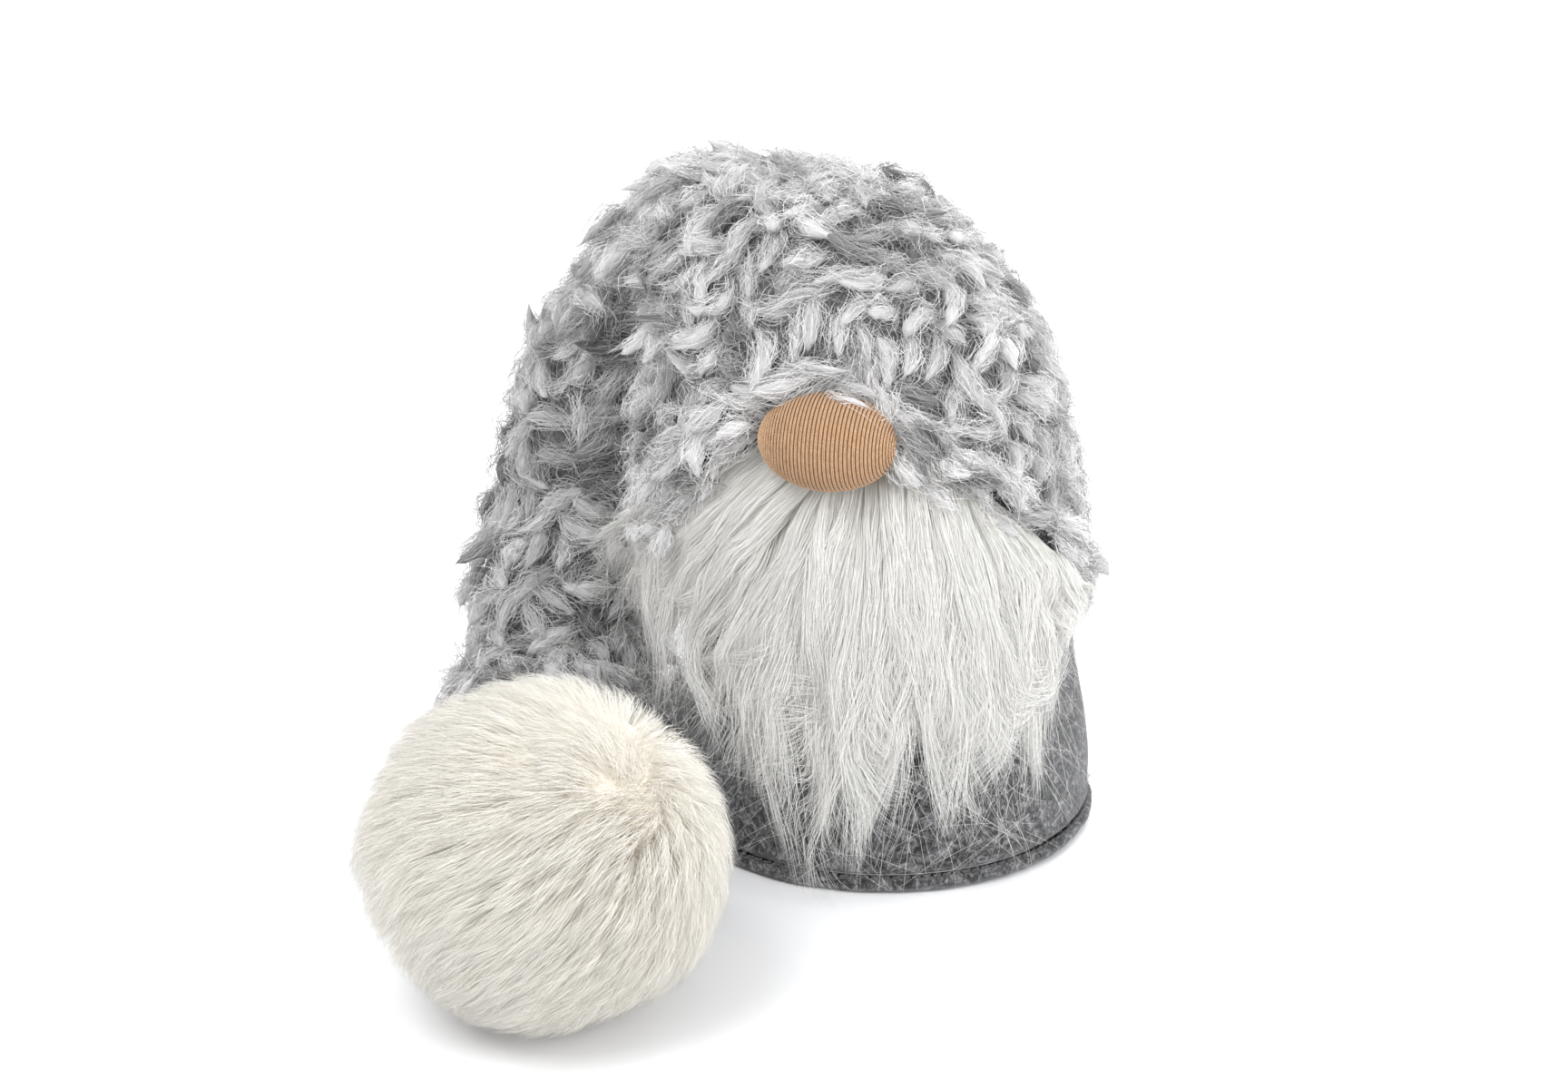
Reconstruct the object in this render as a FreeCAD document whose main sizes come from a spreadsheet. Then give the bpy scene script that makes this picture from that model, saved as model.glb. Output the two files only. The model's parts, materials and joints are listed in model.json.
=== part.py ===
"""Tomte gnome: a weighted felt body, a jersey nose, a fur beard and a long boucle hat.

The hat folds over at its crest, hangs down the left side, turns along the floor
and ends in a fur pompom.  Millimetres, +Z up, -Y is the face side, and the
origin is the centre of the base, on the floor.
"""
import FreeCAD, Part
import math
import os
import Sketcher
from FreeCAD import Placement, Rotation, Vector

doc = FreeCAD.newDocument("tomte_gnome")

# ---------------------------------------------------------------- dimensions
DIMENSIONS = {
    # felt body
    "body_radius": 64.0,
    "body_height": 172.0,
    "body_taper": 0.35,
    "body_roundness": 5.0,
    "felt_thickness": 2.5,
    "base_lip_height": 4.5,
    "base_corner_radius": 3.5,
    "seam_gap": 1.2,
    "seam_thread_radius": 0.45,
    "seam_thread_ring": 62.3,
    "stiffener_radius": 56.0,
    "stiffener_thickness": 2.0,
    "pouch_radius": 42.0,
    "pouch_half_height": 15.0,
    "pouch_cloth": 0.8,
    "back_seam_width": 2.0,
    "back_seam_height": 0.7,
    "gather_thread_radius": 0.7,
    "gather_thread_height": 166.0,
    # nose
    "nose_x": -4.0,
    "nose_y": -51.5,
    "nose_z": 131.5,
    "nose_half_width": 19.5,
    "nose_half_depth": 14.5,
    "nose_half_height": 13.5,
    "jersey_thickness": 0.8,
    "nose_knot_radius": 2.2,
    "nose_knot_depth": 8.0,
    "nose_seat_gap": 0.3,
    # beard
    "beard_gap": 0.5,
    "beard_floor": 3.0,
    "beard_side_y": -8.0,
    "beard_backing_thickness": 1.2,
    "beard_pile_thickness": 9.0,
    "beard_top": 116.0,
    "beard_hinge_y": -52.0,
    "beard_hinge_z": 118.0,
    "beard_lift": 20.0,
    # hat
    "hat_gap": 1.0,
    "hem_height": 9.0,
    "hat_side_edge": 70.0,
    "hat_tilt": 8.0,
    "crest_x": -53.0,
    "crest_y": 17.0,
    "crest_z": 162.5,
    "crest_radius": 30.0,
    # hat tail
    "shoulder_radius": 30.5,
    "flank_radius": 28.5,
    "knee_x": -103.0,
    "knee_y": 6.0,
    "knee_radius": 28.5,
    "knee_split": 50.0,
    "tail_tip_radius": 16.0,
    "tail_tie_radius": 0.9,
    "tail_tie_lift": 2.6,
    "tail_tip_share": 0.12,
    "tail_tie_share": 0.3,
    # pompom
    "pompom_x": -55.0,
    "pompom_y": -148.5,
    "pompom_z": 46.5,
    "pompom_radius": 47.5,
    "pompom_core_radius": 20.0,
    "pompom_backing": 1.2,
    "pompom_hinge_x": -66.0,
    "pompom_hinge_y": -108.0,
    "pompom_hinge_z": 36.0,
    "pompom_recess": 26.0,
    "pompom_thread_radius": 1.0,
    "thread_start_share": 0.04,
    "thread_end_share": 0.62,
    # clearances
    "moving_gap": 0.5,
    "sewn_gap": 0.2,
    "floor_gap": 0.4,
}

sheet = doc.addObject("Spreadsheet::Sheet", "dims")
for row, (alias, number) in enumerate(DIMENSIONS.items(), start=1):
    sheet.set("A%d" % row, alias)
    sheet.set("B%d" % row, str(number))
    sheet.setAlias("B%d" % row, alias)
doc.recompute()


class Sizes:
    """Reads a dimension from the sheet by its alias."""

    def __getattr__(self, alias):
        return float(sheet.get(alias))


size = Sizes()
nodes = []


# ---------------------------------------------------------------- helpers
def node(label, obj):
    """Name a finished sub-part and list it for export."""
    obj.Label = label
    nodes.append(obj)
    return obj


def bind(obj, **expressions):
    """Bind properties of an object to cells of the sheet."""
    for prop, expression in expressions.items():
        obj.setExpression(prop, expression)
    return obj


def feature(name, shape):
    """A free-form solid whose curves no primitive can give."""
    obj = doc.addObject("Part::Feature", name)
    obj.Shape = shape
    return obj


def fuse(name, parts):
    obj = doc.addObject("Part::MultiFuse", name)
    obj.Shapes = parts
    return obj


def cut(name, base, *tools):
    """Cut one or more tools from a base."""
    tool = tools[0] if len(tools) == 1 else fuse(name + "_tools", list(tools))
    obj = doc.addObject("Part::Cut", name)
    obj.Base = base
    obj.Tool = tool
    return obj


def common(name, base, tool):
    obj = doc.addObject("Part::Common", name)
    obj.Base = base
    obj.Tool = tool
    return obj


def sphere(name, centre, radius):
    obj = bind(doc.addObject("Part::Sphere", name), Radius=radius)
    obj.Placement = Placement(centre, Rotation())
    return obj


def ellipsoid(name, centre, along_x, along_y, along_z):
    obj = doc.addObject("Part::Ellipsoid", name)
    bind(obj, Radius1=along_z, Radius2=along_x, Radius3=along_y)
    obj.Placement = Placement(centre, Rotation())
    return obj


def ring(name, centre, axis, ring_radius, thread_radius):
    obj = bind(doc.addObject("Part::Torus", name), Radius1=ring_radius, Radius2=thread_radius)
    obj.Placement = Placement(centre, Rotation(Vector(0, 0, 1), axis))
    return obj


def cone(name, start, end, start_radius, end_radius):
    """A straight length of tube between two points."""
    obj = bind(doc.addObject("Part::Cone", name), Radius1=start_radius, Radius2=end_radius)
    obj.Height = (end - start).Length
    obj.Placement = Placement(start, Rotation(Vector(0, 0, 1), end - start))
    return obj


def slab(name, low, high, tilt=0.0):
    """A box between two heights, wider than the whole gnome, tipped up at its front."""
    reach = 4 * size.body_radius
    obj = doc.addObject("Part::Box", name)
    obj.Length = 2 * reach
    obj.Width = 2 * reach
    obj.Height = high - low
    tipped = Rotation(Vector(1, 0, 0), -tilt)
    corner = tipped.multVec(Vector(-reach, -reach, low - high))
    obj.Placement = Placement(corner + Vector(0, 0, high), tipped)
    return obj


def body_radius_at(height, offset=0.0):
    """Radius of the felt bell, or of a surface at an offset from it."""
    foot = size.body_radius + offset
    top = size.body_height + offset
    share = height / top
    return foot * (1 - size.body_taper * share) * math.sqrt(1 - share ** size.body_roundness)


def bell(name, offset, floor):
    """The felt bell grown by an offset, as a closed solid of revolution."""
    top = size.body_height + offset
    steps = 16
    points = []
    for step in range(steps):
        share = 1 - (1 - step / steps) ** 2
        height = floor + (top - floor) * share
        points.append(Vector(body_radius_at(height, offset), 0, height))
    points.append(Vector(0, 0, top))
    curve = Part.BSplineCurve()
    curve.interpolate(
        Points=points, InitialTangent=points[1] - points[0], FinalTangent=Vector(-1, 0, 0)
    )
    foot = Vector(0, 0, floor)
    outline = Part.Wire([
        curve.toShape(), Part.makeLine(points[-1], foot), Part.makeLine(foot, points[0])
    ])
    solid = Part.Face(outline).revolve(Vector(), Vector(0, 0, 1), 360)
    return feature(name, Part.Solid(solid.Shells[0]) if solid.Shells else solid)


def prism(name, outline, near, far):
    """A closed outline of front-view points, extruded along Y from near to far."""
    face = Part.Face(outline)
    solid = face.extrude(Vector(0, far - near, 0))
    solid.translate(Vector(0, near, 0))
    return feature(name, solid)


def front_outline(points, floor):
    """A smooth front-view curve, closed by straight lines down to a floor height."""
    curve = Part.BSplineCurve()
    curve.interpolate([Vector(x, 0, z) for x, z in points])
    first = curve.StartPoint
    last = curve.EndPoint
    corners = [last, Vector(last.x, 0, floor), Vector(first.x, 0, floor), first]
    lines = [Part.makeLine(a, b) for a, b in zip(corners, corners[1:])]
    return Part.Wire([curve.toShape()] + lines)


def origin_plane(body, role):
    return next(item for item in body.Origin.OriginFeatures if item.Role == role)


def new_body(name):
    return doc.addObject("PartDesign::Body", name)


def new_sketch(body, name, role):
    sketch = body.newObject("Sketcher::SketchObject", name)
    sketch.AttachmentSupport = (origin_plane(body, role), [""])
    sketch.MapMode = "FlatFace"
    return sketch


def total(terms):
    """Value of a sum of signed aliases, such as "+base -wall"."""
    return sum(float(sheet.get(term[1:])) * float(term[0] + "1") for term in terms.split())


def profile_sketch(body, name, corners):
    """A closed polygon whose every corner is pinned to sums of sheet cells."""
    sketch = new_sketch(body, name, "XZ_Plane")
    places = [Vector(total(across), total(up), 0) for across, up in corners]
    count = len(places)
    for index in range(count):
        sketch.addGeometry(Part.LineSegment(places[index], places[(index + 1) % count]), False)
    for index in range(count):
        sketch.addConstraint(Sketcher.Constraint("Coincident", index, 2, (index + 1) % count, 1))
    for index, corner in enumerate(corners):
        for kind, terms, place in zip(("DistanceX", "DistanceY"), corner, places[index]):
            held = Sketcher.Constraint(kind, index, 1, place)
            number = sketch.addConstraint(held)
            if terms:
                expression = "".join(t[0] + "dims." + t[1:] for t in terms.split())
                sketch.setExpression("Constraints[%d]" % number, expression.lstrip("+"))
    return sketch


# ---------------------------------------------------------------- felt body
body_skin = bell("body_skin", 0.0, size.base_lip_height + size.seam_gap)
body_inside = bell("body_inside", -size.felt_thickness, 0.0)
hat_inside = bell("hat_inside", size.hat_gap, 0.0)


def make_base_felt():
    """The felt dish under the gnome: a disc with its edge turned up to the seam."""
    body = new_body("base_dish")
    corners = [
        ("", ""),
        ("+body_radius", ""),
        ("+body_radius", "+base_lip_height"),
        ("+body_radius -felt_thickness", "+base_lip_height"),
        ("+body_radius -felt_thickness", "+felt_thickness"),
        ("", "+felt_thickness"),
    ]
    outline = profile_sketch(body, "base_outline", corners)
    turned = body.newObject("PartDesign::Revolution", "base_turned")
    turned.Profile = outline
    turned.ReferenceAxis = (outline, ["V_Axis"])
    turned.Angle = 360
    doc.recompute()
    rim = [
        "Edge%d" % (number + 1)
        for number, edge in enumerate(turned.Shape.Edges)
        if edge.BoundBox.ZMax < 0.01 and edge.BoundBox.XMax > size.body_radius - 0.01
    ]
    rounded = body.newObject("PartDesign::Fillet", "base_rounded")
    rounded.Base = (turned, rim)
    bind(rounded, Radius="dims.base_corner_radius")
    body.Tip = rounded
    return node("base_felt", body)


def make_stiffener():
    """The card disc that keeps the base flat."""
    body = new_body("stiffener")
    sketch = new_sketch(body, "stiffener_outline", "XY_Plane")
    circle = sketch.addGeometry(
        Part.Circle(Vector(), Vector(0, 0, 1), size.stiffener_radius), False
    )
    sketch.addConstraint(Sketcher.Constraint("Coincident", circle, 3, -1, 1))
    held = sketch.addConstraint(Sketcher.Constraint("Radius", circle, size.stiffener_radius))
    sketch.setExpression("Constraints[%d]" % held, "dims.stiffener_radius")
    bind(sketch, **{"AttachmentOffset.Base.z": "dims.felt_thickness + dims.sewn_gap"})
    pad = body.newObject("PartDesign::Pad", "stiffener_pad")
    pad.Profile = sketch
    bind(pad, Length="dims.stiffener_thickness")
    return node("base_stiffener", body)


make_base_felt()
make_stiffener()
node("body_cover", cut("felt_shell", body_skin, body_inside))

seam_height = size.base_lip_height + size.seam_gap / 2
node("base_seam_thread", ring(
    "base_seam", Vector(0, 0, seam_height), Vector(0, 0, 1),
    "dims.seam_thread_ring", "dims.seam_thread_radius",
))

# The pellet pouch lies on the card, low in the stuffing.
pouch_floor = size.felt_thickness + size.sewn_gap * 2 + size.stiffener_thickness
pouch_centre = Vector(0, 0, pouch_floor + size.pouch_half_height)
pouch_outer = ellipsoid(
    "pouch_outer", pouch_centre,
    "dims.pouch_radius", "dims.pouch_radius", "dims.pouch_half_height",
)
pouch_inner = ellipsoid(
    "pouch_inner", pouch_centre, "dims.pouch_radius - dims.pouch_cloth",
    "dims.pouch_radius - dims.pouch_cloth", "dims.pouch_half_height - dims.pouch_cloth",
)
pouch_room = ellipsoid(
    "pouch_room", pouch_centre, "dims.pouch_radius + dims.sewn_gap",
    "dims.pouch_radius + dims.sewn_gap", "dims.pouch_half_height + dims.sewn_gap",
)
node("weight_pouch", cut("pouch_shell", pouch_outer, pouch_inner))
node("weight_pellets", ellipsoid(
    "pellets", pouch_centre, "dims.pouch_radius - dims.pouch_cloth - dims.sewn_gap",
    "dims.pouch_radius - dims.pouch_cloth - dims.sewn_gap",
    "dims.pouch_half_height - dims.pouch_cloth - dims.sewn_gap",
))
stuffing_bell = bell("stuffing_bell", -size.felt_thickness - size.sewn_gap, pouch_floor)
node("body_stuffing", cut("stuffing", stuffing_bell, pouch_room))


def make_back_seam():
    """The raised seam where the felt cone closes at the back, up to the gathering thread."""
    proud = bell("seam_proud", size.back_seam_height, size.base_lip_height + size.seam_gap)
    below = bell("seam_below", size.sewn_gap / 2, 0.0)
    strip = bind(
        doc.addObject("Part::Box", "seam_strip"),
        Length="dims.back_seam_width", Width="dims.body_radius * 2",
        Height="dims.gather_thread_height - dims.gather_thread_radius - dims.sewn_gap",
    )
    strip.Placement = Placement(Vector(-size.back_seam_width / 2, 0, 0), Rotation())
    return node("back_seam", common("seam_rib", cut("seam_skin", proud, below), strip))


make_back_seam()

gather_ring = body_radius_at(size.gather_thread_height, size.gather_thread_radius)
gather_thread = ring(
    "gather_ring", Vector(0, 0, size.gather_thread_height), Vector(0, 0, 1),
    "%.4f" % gather_ring, "dims.gather_thread_radius",
)
gather_room = ring(
    "gather_room", Vector(0, 0, size.gather_thread_height), Vector(0, 0, 1),
    "%.4f" % gather_ring, "dims.gather_thread_radius + dims.sewn_gap",
)
node("gathering_thread", cut("gather_loop", gather_thread, bell("gather_bell", size.sewn_gap / 2, 0.0)))

# ---------------------------------------------------------------- nose
nose_centre = Vector(size.nose_x, size.nose_y, size.nose_z)


def nose_form(name, shrink):
    """The stuffed nose, smaller by an expression for each layer."""
    return ellipsoid(
        name, nose_centre, "dims.nose_half_width - " + shrink,
        "dims.nose_half_depth - " + shrink, "dims.nose_half_height - " + shrink,
    )


lining_gap = size.nose_seat_gap + size.jersey_thickness + size.sewn_gap
nose_seat = bell("nose_seat", size.nose_seat_gap, 0.0)
nose_lining = bell("nose_lining", lining_gap - size.sewn_gap, 0.0)
nose_outer = cut("nose_outer", nose_form("nose_skin", "0"), nose_seat)
nose_hollow = cut("nose_hollow", nose_form("nose_inner", "dims.jersey_thickness"), nose_lining)
node("nose_cover", cut("nose_shell", nose_outer, nose_hollow))
knot_centre = Vector(size.nose_x, size.nose_y + size.nose_knot_depth, size.nose_z)
filling_form = nose_form("nose_fill", "(dims.jersey_thickness + dims.sewn_gap)")
filling = cut("nose_stuffed", filling_form, bell("fill_seat", lining_gap, 0.0))
knot_room = sphere("knot_room", knot_centre, "dims.nose_knot_radius + dims.sewn_gap")
node("nose_filling", cut("nose_wadding", filling, knot_room))
node("nose_knot", cut(
    "nose_knot_ball", sphere("knot_ball", knot_centre, "dims.nose_knot_radius"),
    bell("knot_seat", lining_gap, 0.0),
))
nose_room = nose_form("nose_room", "(-dims.moving_gap)")

# ---------------------------------------------------------------- hat crown
# Level sections of the hat: height, half width, half depth, centre x, centre y.
HAT_SECTIONS = [
    (58, 67, 64, -7, 1),
    (90, 66, 60, -9, 1),
    (120, 62, 57, -10, 2),
    (145, 57, 50, -14, 4),
    (165, 49, 42, -19, 6),
    (180, 37, 32, -23, 9),
    (190, 20, 17, -27, 11),
]
# Front view of the edge of the hat over the face, from the left side to the right.
FACE_ARCH = [
    (-80, 60), (-70, 82), (-53, 112), (-38, 130), (-8, 145), (7, 139), (19, 127), (42, 114),
    (52, 98), (60, 74), (66, 54),
]


def hat_form(name, offset):
    """The outside of the hat as a loft of level ellipses, grown by an offset."""
    wires = []
    for height, half_width, half_depth, x, y in HAT_SECTIONS:
        section = Part.Ellipse(Vector(), half_width + offset, half_depth + offset)
        edge = section.toShape()
        edge.translate(Vector(x, y, height))
        wires.append(Part.Wire([edge]))
    return feature(name, Part.makeLoft(wires, True))


arch_near = -2.0 * size.body_radius
arch_floor = -size.hem_height
raised_arch = [(x, z + size.hem_height) for x, z in FACE_ARCH]
face_opening = prism("face_opening", front_outline(FACE_ARCH, arch_floor), arch_near, 0.0)
hem_opening = prism("hem_opening", front_outline(raised_arch, arch_floor), arch_near, 0.0)
below_hem = slab("below_hem", 0.0, size.hat_side_edge, size.hat_tilt)
below_crown = slab("below_crown", 0.0, size.hat_side_edge + size.hem_height, size.hat_tilt)

crest = Vector(size.crest_x, size.crest_y, size.crest_z)
crest_ball = sphere("crest_ball", crest, "dims.crest_radius")
hat_body = fuse("hat_body", [hat_form("hat_outside", 0.0), crest_ball])
hat_shell = cut("hat_shell", hat_body, hat_inside, nose_room, gather_room)
node("hat_crown", cut("crown_cut", hat_shell, fuse("below_rim", [hem_opening, below_crown])))
hem_band = common("hem_band", hat_shell, fuse("hem_zone", [hem_opening, below_crown]))
node("hat_hem", cut("hem_cut", hem_band, fuse("open_zone", [face_opening, below_hem])))

# ---------------------------------------------------------------- beard
# Front view of the beard: down its left edge, along its tips and up its right edge.
BEARD_OUTLINE = [
    (-66, 88), (-52, 64), (-37, 42), (-17, 26), (4, 5), (22, 17), (38, 20), (51, 16),
    (56, 44), (61, 72), (62, 88),
]


def beard_outline():
    """The beard's front view, closed along its level top edge."""
    curve = Part.BSplineCurve()
    curve.interpolate([Vector(x, 0, z) for x, z in BEARD_OUTLINE])
    top = size.beard_top
    corners = [curve.EndPoint, Vector(34, 0, top), Vector(-36, 0, top), curve.StartPoint]
    lines = [Part.makeLine(a, b) for a, b in zip(corners, corners[1:])]
    return Part.Wire([curve.toShape()] + lines)


beard_zone = prism("beard_zone", beard_outline(), arch_near, size.beard_side_y)
beard_hinge = Vector(0, size.beard_hinge_y, size.beard_hinge_z)
body_in_the_way = []
for lifted in (0.25, 0.5, 0.75, 1.0):
    stage = bell("body_at_%d" % round(100 * lifted), size.sewn_gap * 2, 0.0)
    turned_back = Rotation(Vector(1, 0, 0), size.beard_lift * lifted)
    stage.Placement = Placement(
        beard_hinge - turned_back.multVec(beard_hinge), turned_back
    )
    body_in_the_way.append(stage)


def beard_layer(name, inner, outer):
    """One layer of the beard: a band of the bell inside the beard's outline."""
    skin = cut(name + "_skin", bell(name + "_out", outer, size.beard_floor), bell(name + "_in", inner, 0.0))
    shaped = common(name + "_shaped", skin, beard_zone)
    return cut(name + "_cut", shaped, *body_in_the_way, nose_room, arch_room)


arch_room = cut("arch_room", slab("arch_slab", 0.0, 200.0), face_opening)
backing_inner = size.beard_gap
backing_outer = backing_inner + size.beard_backing_thickness
pile_inner = backing_outer + size.sewn_gap
pile_outer = pile_inner + size.beard_pile_thickness
node("beard_backing", beard_layer("backing", backing_inner, backing_outer))
node("beard_pile", beard_layer("pile", pile_inner, pile_outer))

# ---------------------------------------------------------------- hat tail
shoulder = Vector(-84, 23, 121)
flank = Vector(-98, 16, 76)
knee_top = Vector(size.knee_x, size.knee_y, size.knee_split)
knee = Vector(size.knee_x, size.knee_y, size.floor_gap + size.knee_radius)
tail_mid = Vector(-95, -46, 26.5)
tail_bend = Vector(-81, -84, 27.5)
pompom_hinge = Vector(size.pompom_hinge_x, size.pompom_hinge_y, size.pompom_hinge_z)
pompom_centre = Vector(size.pompom_x, size.pompom_y, size.pompom_z)


def tube(name, places):
    """A tube of straight tapering lengths with a ball at each bend."""
    pieces = []
    for number, ((start, start_radius), (end, end_radius)) in enumerate(zip(places, places[1:])):
        label = "%s_%d" % (name, number)
        pieces.append(cone(label, start, end, start_radius, end_radius))
        if number:
            pieces.append(sphere(label + "_ball", start, start_radius))
    return pieces


upper_pieces = tube("upper", [
    (crest, "dims.crest_radius"),
    (shoulder, "dims.shoulder_radius"),
    (flank, "dims.flank_radius"),
    (knee_top, "dims.knee_radius"),
])
knee_drum = bind(doc.addObject("Part::Cylinder", "knee_drum"), Radius="dims.knee_radius")
knee_drum.Height = size.hem_height
knee_drum.Placement = Placement(knee_top, Rotation())
crest_room = sphere("crest_room", crest, "dims.crest_radius + dims.moving_gap")
crown_room = hat_form("crown_room", size.moving_gap)
node("hat_tail_upper", cut(
    "upper_cut", fuse("upper_tube", upper_pieces + [knee_drum]),
    crest_room, crown_room, slab("below_split", 0.0, size.knee_split),
))

tip_start = pompom_hinge + (tail_bend - pompom_hinge) * size.tail_tip_share
lower_pieces = tube("lower", [
    (knee, "dims.knee_radius"),
    (tail_mid, "dims.knee_radius - 2.5"),
    (tail_bend, "dims.knee_radius - 5"),
    (tip_start, "dims.tail_tip_radius"),
])
lower_pieces.append(sphere("elbow", knee, "dims.knee_radius"))
above_split = slab("above_split", size.knee_split - size.moving_gap, 200.0)
under_floor = slab("under_floor", -60.0, size.floor_gap)
tip_direction = pompom_hinge - tail_bend
tie_centre = pompom_hinge + (tail_bend - pompom_hinge) * size.tail_tie_share
tie_ring = "dims.tail_tip_radius + dims.tail_tie_lift"
tie_room = ring(
    "tie_room", tie_centre, tip_direction, tie_ring, "dims.tail_tie_radius + dims.sewn_gap"
)
node("hat_tail_lower", cut(
    "lower_cut", fuse("lower_tube", lower_pieces), above_split, under_floor, tie_room
))
node("tail_tip_tie", ring("tip_tie", tie_centre, tip_direction, tie_ring, "dims.tail_tie_radius"))

# ---------------------------------------------------------------- pompom
recess = sphere("pompom_recess_ball", pompom_hinge, "dims.pompom_recess")
pile_ball = sphere("pile_ball", pompom_centre, "dims.pompom_radius")
thread_start = pompom_hinge + (pompom_centre - pompom_hinge) * size.thread_start_share
thread_end = pompom_hinge + (pompom_centre - pompom_hinge) * size.thread_end_share
thread_room = cone(
    "thread_room", pompom_hinge, thread_end,
    "dims.pompom_thread_radius + dims.sewn_gap", "dims.pompom_thread_radius + dims.sewn_gap",
)
backing_room = sphere(
    "backing_room", pompom_centre,
    "dims.pompom_core_radius + dims.pompom_backing + dims.sewn_gap",
)
node("pompom_pile", cut(
    "pile_cut", pile_ball, recess, backing_room, thread_room,
    slab("pompom_floor", -20.0, size.floor_gap),
))
backing_ball = sphere(
    "backing_ball", pompom_centre, "dims.pompom_core_radius + dims.pompom_backing"
)
core_room = sphere("core_room", pompom_centre, "dims.pompom_core_radius")
node("pompom_backing", cut("backing_shell", backing_ball, core_room, thread_room))
filling_ball = sphere("filling_ball", pompom_centre, "dims.pompom_core_radius - dims.sewn_gap")
node("pompom_filling", cut("filling_cut", filling_ball, thread_room))
node("pompom_thread", cone(
    "thread", thread_start, thread_end,
    "dims.pompom_thread_radius", "dims.pompom_thread_radius",
))

# ---------------------------------------------------------------- check and write
doc.recompute()
for obj in doc.Objects:
    faults = [state for state in obj.State if state in ("Invalid", "Error")]
    if faults:
        raise RuntimeError("%s is %s" % (obj.Label, faults))
for obj in nodes:
    shape = obj.Shape
    if shape.isNull() or not shape.isValid():
        raise RuntimeError("%s has no valid shape" % obj.Label)
    print("%-18s %2d solid  %10.0f mm3" % (obj.Label, len(shape.Solids), shape.Volume))

os.makedirs("parts", exist_ok=True)
for obj in nodes:
    obj.Shape.exportStep("parts/%s.step" % obj.Label)
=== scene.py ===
"""Looks of the tomte gnome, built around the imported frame. Metres, +Z up, -Y the face side."""
import json
import math
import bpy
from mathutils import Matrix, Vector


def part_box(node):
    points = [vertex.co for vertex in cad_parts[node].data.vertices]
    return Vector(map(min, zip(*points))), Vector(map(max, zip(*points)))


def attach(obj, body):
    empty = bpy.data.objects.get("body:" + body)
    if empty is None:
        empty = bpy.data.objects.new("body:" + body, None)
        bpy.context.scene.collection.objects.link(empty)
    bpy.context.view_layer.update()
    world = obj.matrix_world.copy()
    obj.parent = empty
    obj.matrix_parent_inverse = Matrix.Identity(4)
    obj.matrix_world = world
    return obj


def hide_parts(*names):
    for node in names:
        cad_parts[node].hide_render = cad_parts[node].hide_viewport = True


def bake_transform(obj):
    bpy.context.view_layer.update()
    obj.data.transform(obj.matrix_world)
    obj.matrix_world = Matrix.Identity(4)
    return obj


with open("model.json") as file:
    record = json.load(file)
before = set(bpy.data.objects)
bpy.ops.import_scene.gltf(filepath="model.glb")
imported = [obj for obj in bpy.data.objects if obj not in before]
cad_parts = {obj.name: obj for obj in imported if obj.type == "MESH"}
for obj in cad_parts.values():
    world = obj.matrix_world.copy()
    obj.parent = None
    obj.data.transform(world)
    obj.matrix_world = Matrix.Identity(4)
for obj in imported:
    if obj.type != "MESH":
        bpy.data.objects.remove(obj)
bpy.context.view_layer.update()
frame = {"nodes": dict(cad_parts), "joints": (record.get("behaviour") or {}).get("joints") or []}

import zlib

import bmesh
import bpy
import numpy as np
from mathutils import Matrix, Vector, kdtree

MM = 0.001
nodes = frame["nodes"]
joints = {joint["name"]: joint for joint in frame["joints"]}


# ---------------------------------------------------------------- places from the frame
def corners(node):
    """Lowest and highest corner of a CAD node, as arrays."""
    low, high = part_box(node)
    return np.array(low), np.array(high)


def read_vectors(items, key):
    """One vector from each of a mesh's vertices or faces, as an array."""
    numbers = np.empty(len(items) * 3, np.float32)
    items.foreach_get(key, numbers)
    return numbers.reshape(-1, 3).astype(float)


def node_points(node):
    """Places of a CAD node's vertices."""
    return read_vectors(nodes[node].data.vertices, "co")


def outer_profile(node, bands=60):
    """Heights and outer radii of a turned node, from its vertices."""
    points = node_points(node)
    radius = np.hypot(points[:, 0], points[:, 1])
    edges = np.linspace(points[:, 2].min(), points[:, 2].max(), bands + 1)
    heights, radii = [], []
    for low, high in zip(edges, edges[1:]):
        inside = (points[:, 2] >= low - 1e-6) & (points[:, 2] <= high + 1e-6)
        if inside.any():
            best = np.flatnonzero(inside)[np.argmax(radius[inside])]
            heights.append(points[best, 2])
            radii.append(radius[best])
    return np.array(heights), np.array(radii)


felt_heights, felt_radii = outer_profile("body_cover")
order = np.argsort(felt_heights)
felt_heights, felt_radii = felt_heights[order], felt_radii[order]


def felt_radius(height):
    """Outer radius of the felt body at a height."""
    return np.interp(height, felt_heights, felt_radii)


# ---------------------------------------------------------------- camera, lights, floor
def make_camera():
    """A 70 mm view from the front right, 20 degrees above the horizon."""
    azimuth, elevation = math.radians(15.0), math.radians(20.3)
    distance = 0.930
    aside, below = 0.0293, -0.0781
    back = Vector((
        math.sin(azimuth) * math.cos(elevation),
        -math.cos(azimuth) * math.cos(elevation),
        math.sin(elevation),
    ))
    right = Vector((math.cos(azimuth), math.sin(azimuth), 0.0))
    up = back.cross(right)
    data = bpy.data.cameras.new("view")
    data.lens = 70.0
    data.sensor_width = 36.0
    camera = bpy.data.objects.new("view", data)
    bpy.context.scene.collection.objects.link(camera)
    camera.location = back * distance - right * aside - up * below
    camera.rotation_mode = "QUATERNION"
    camera.rotation_quaternion = Matrix((right, up, back)).transposed().to_quaternion()
    bpy.context.scene.camera = camera


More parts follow.
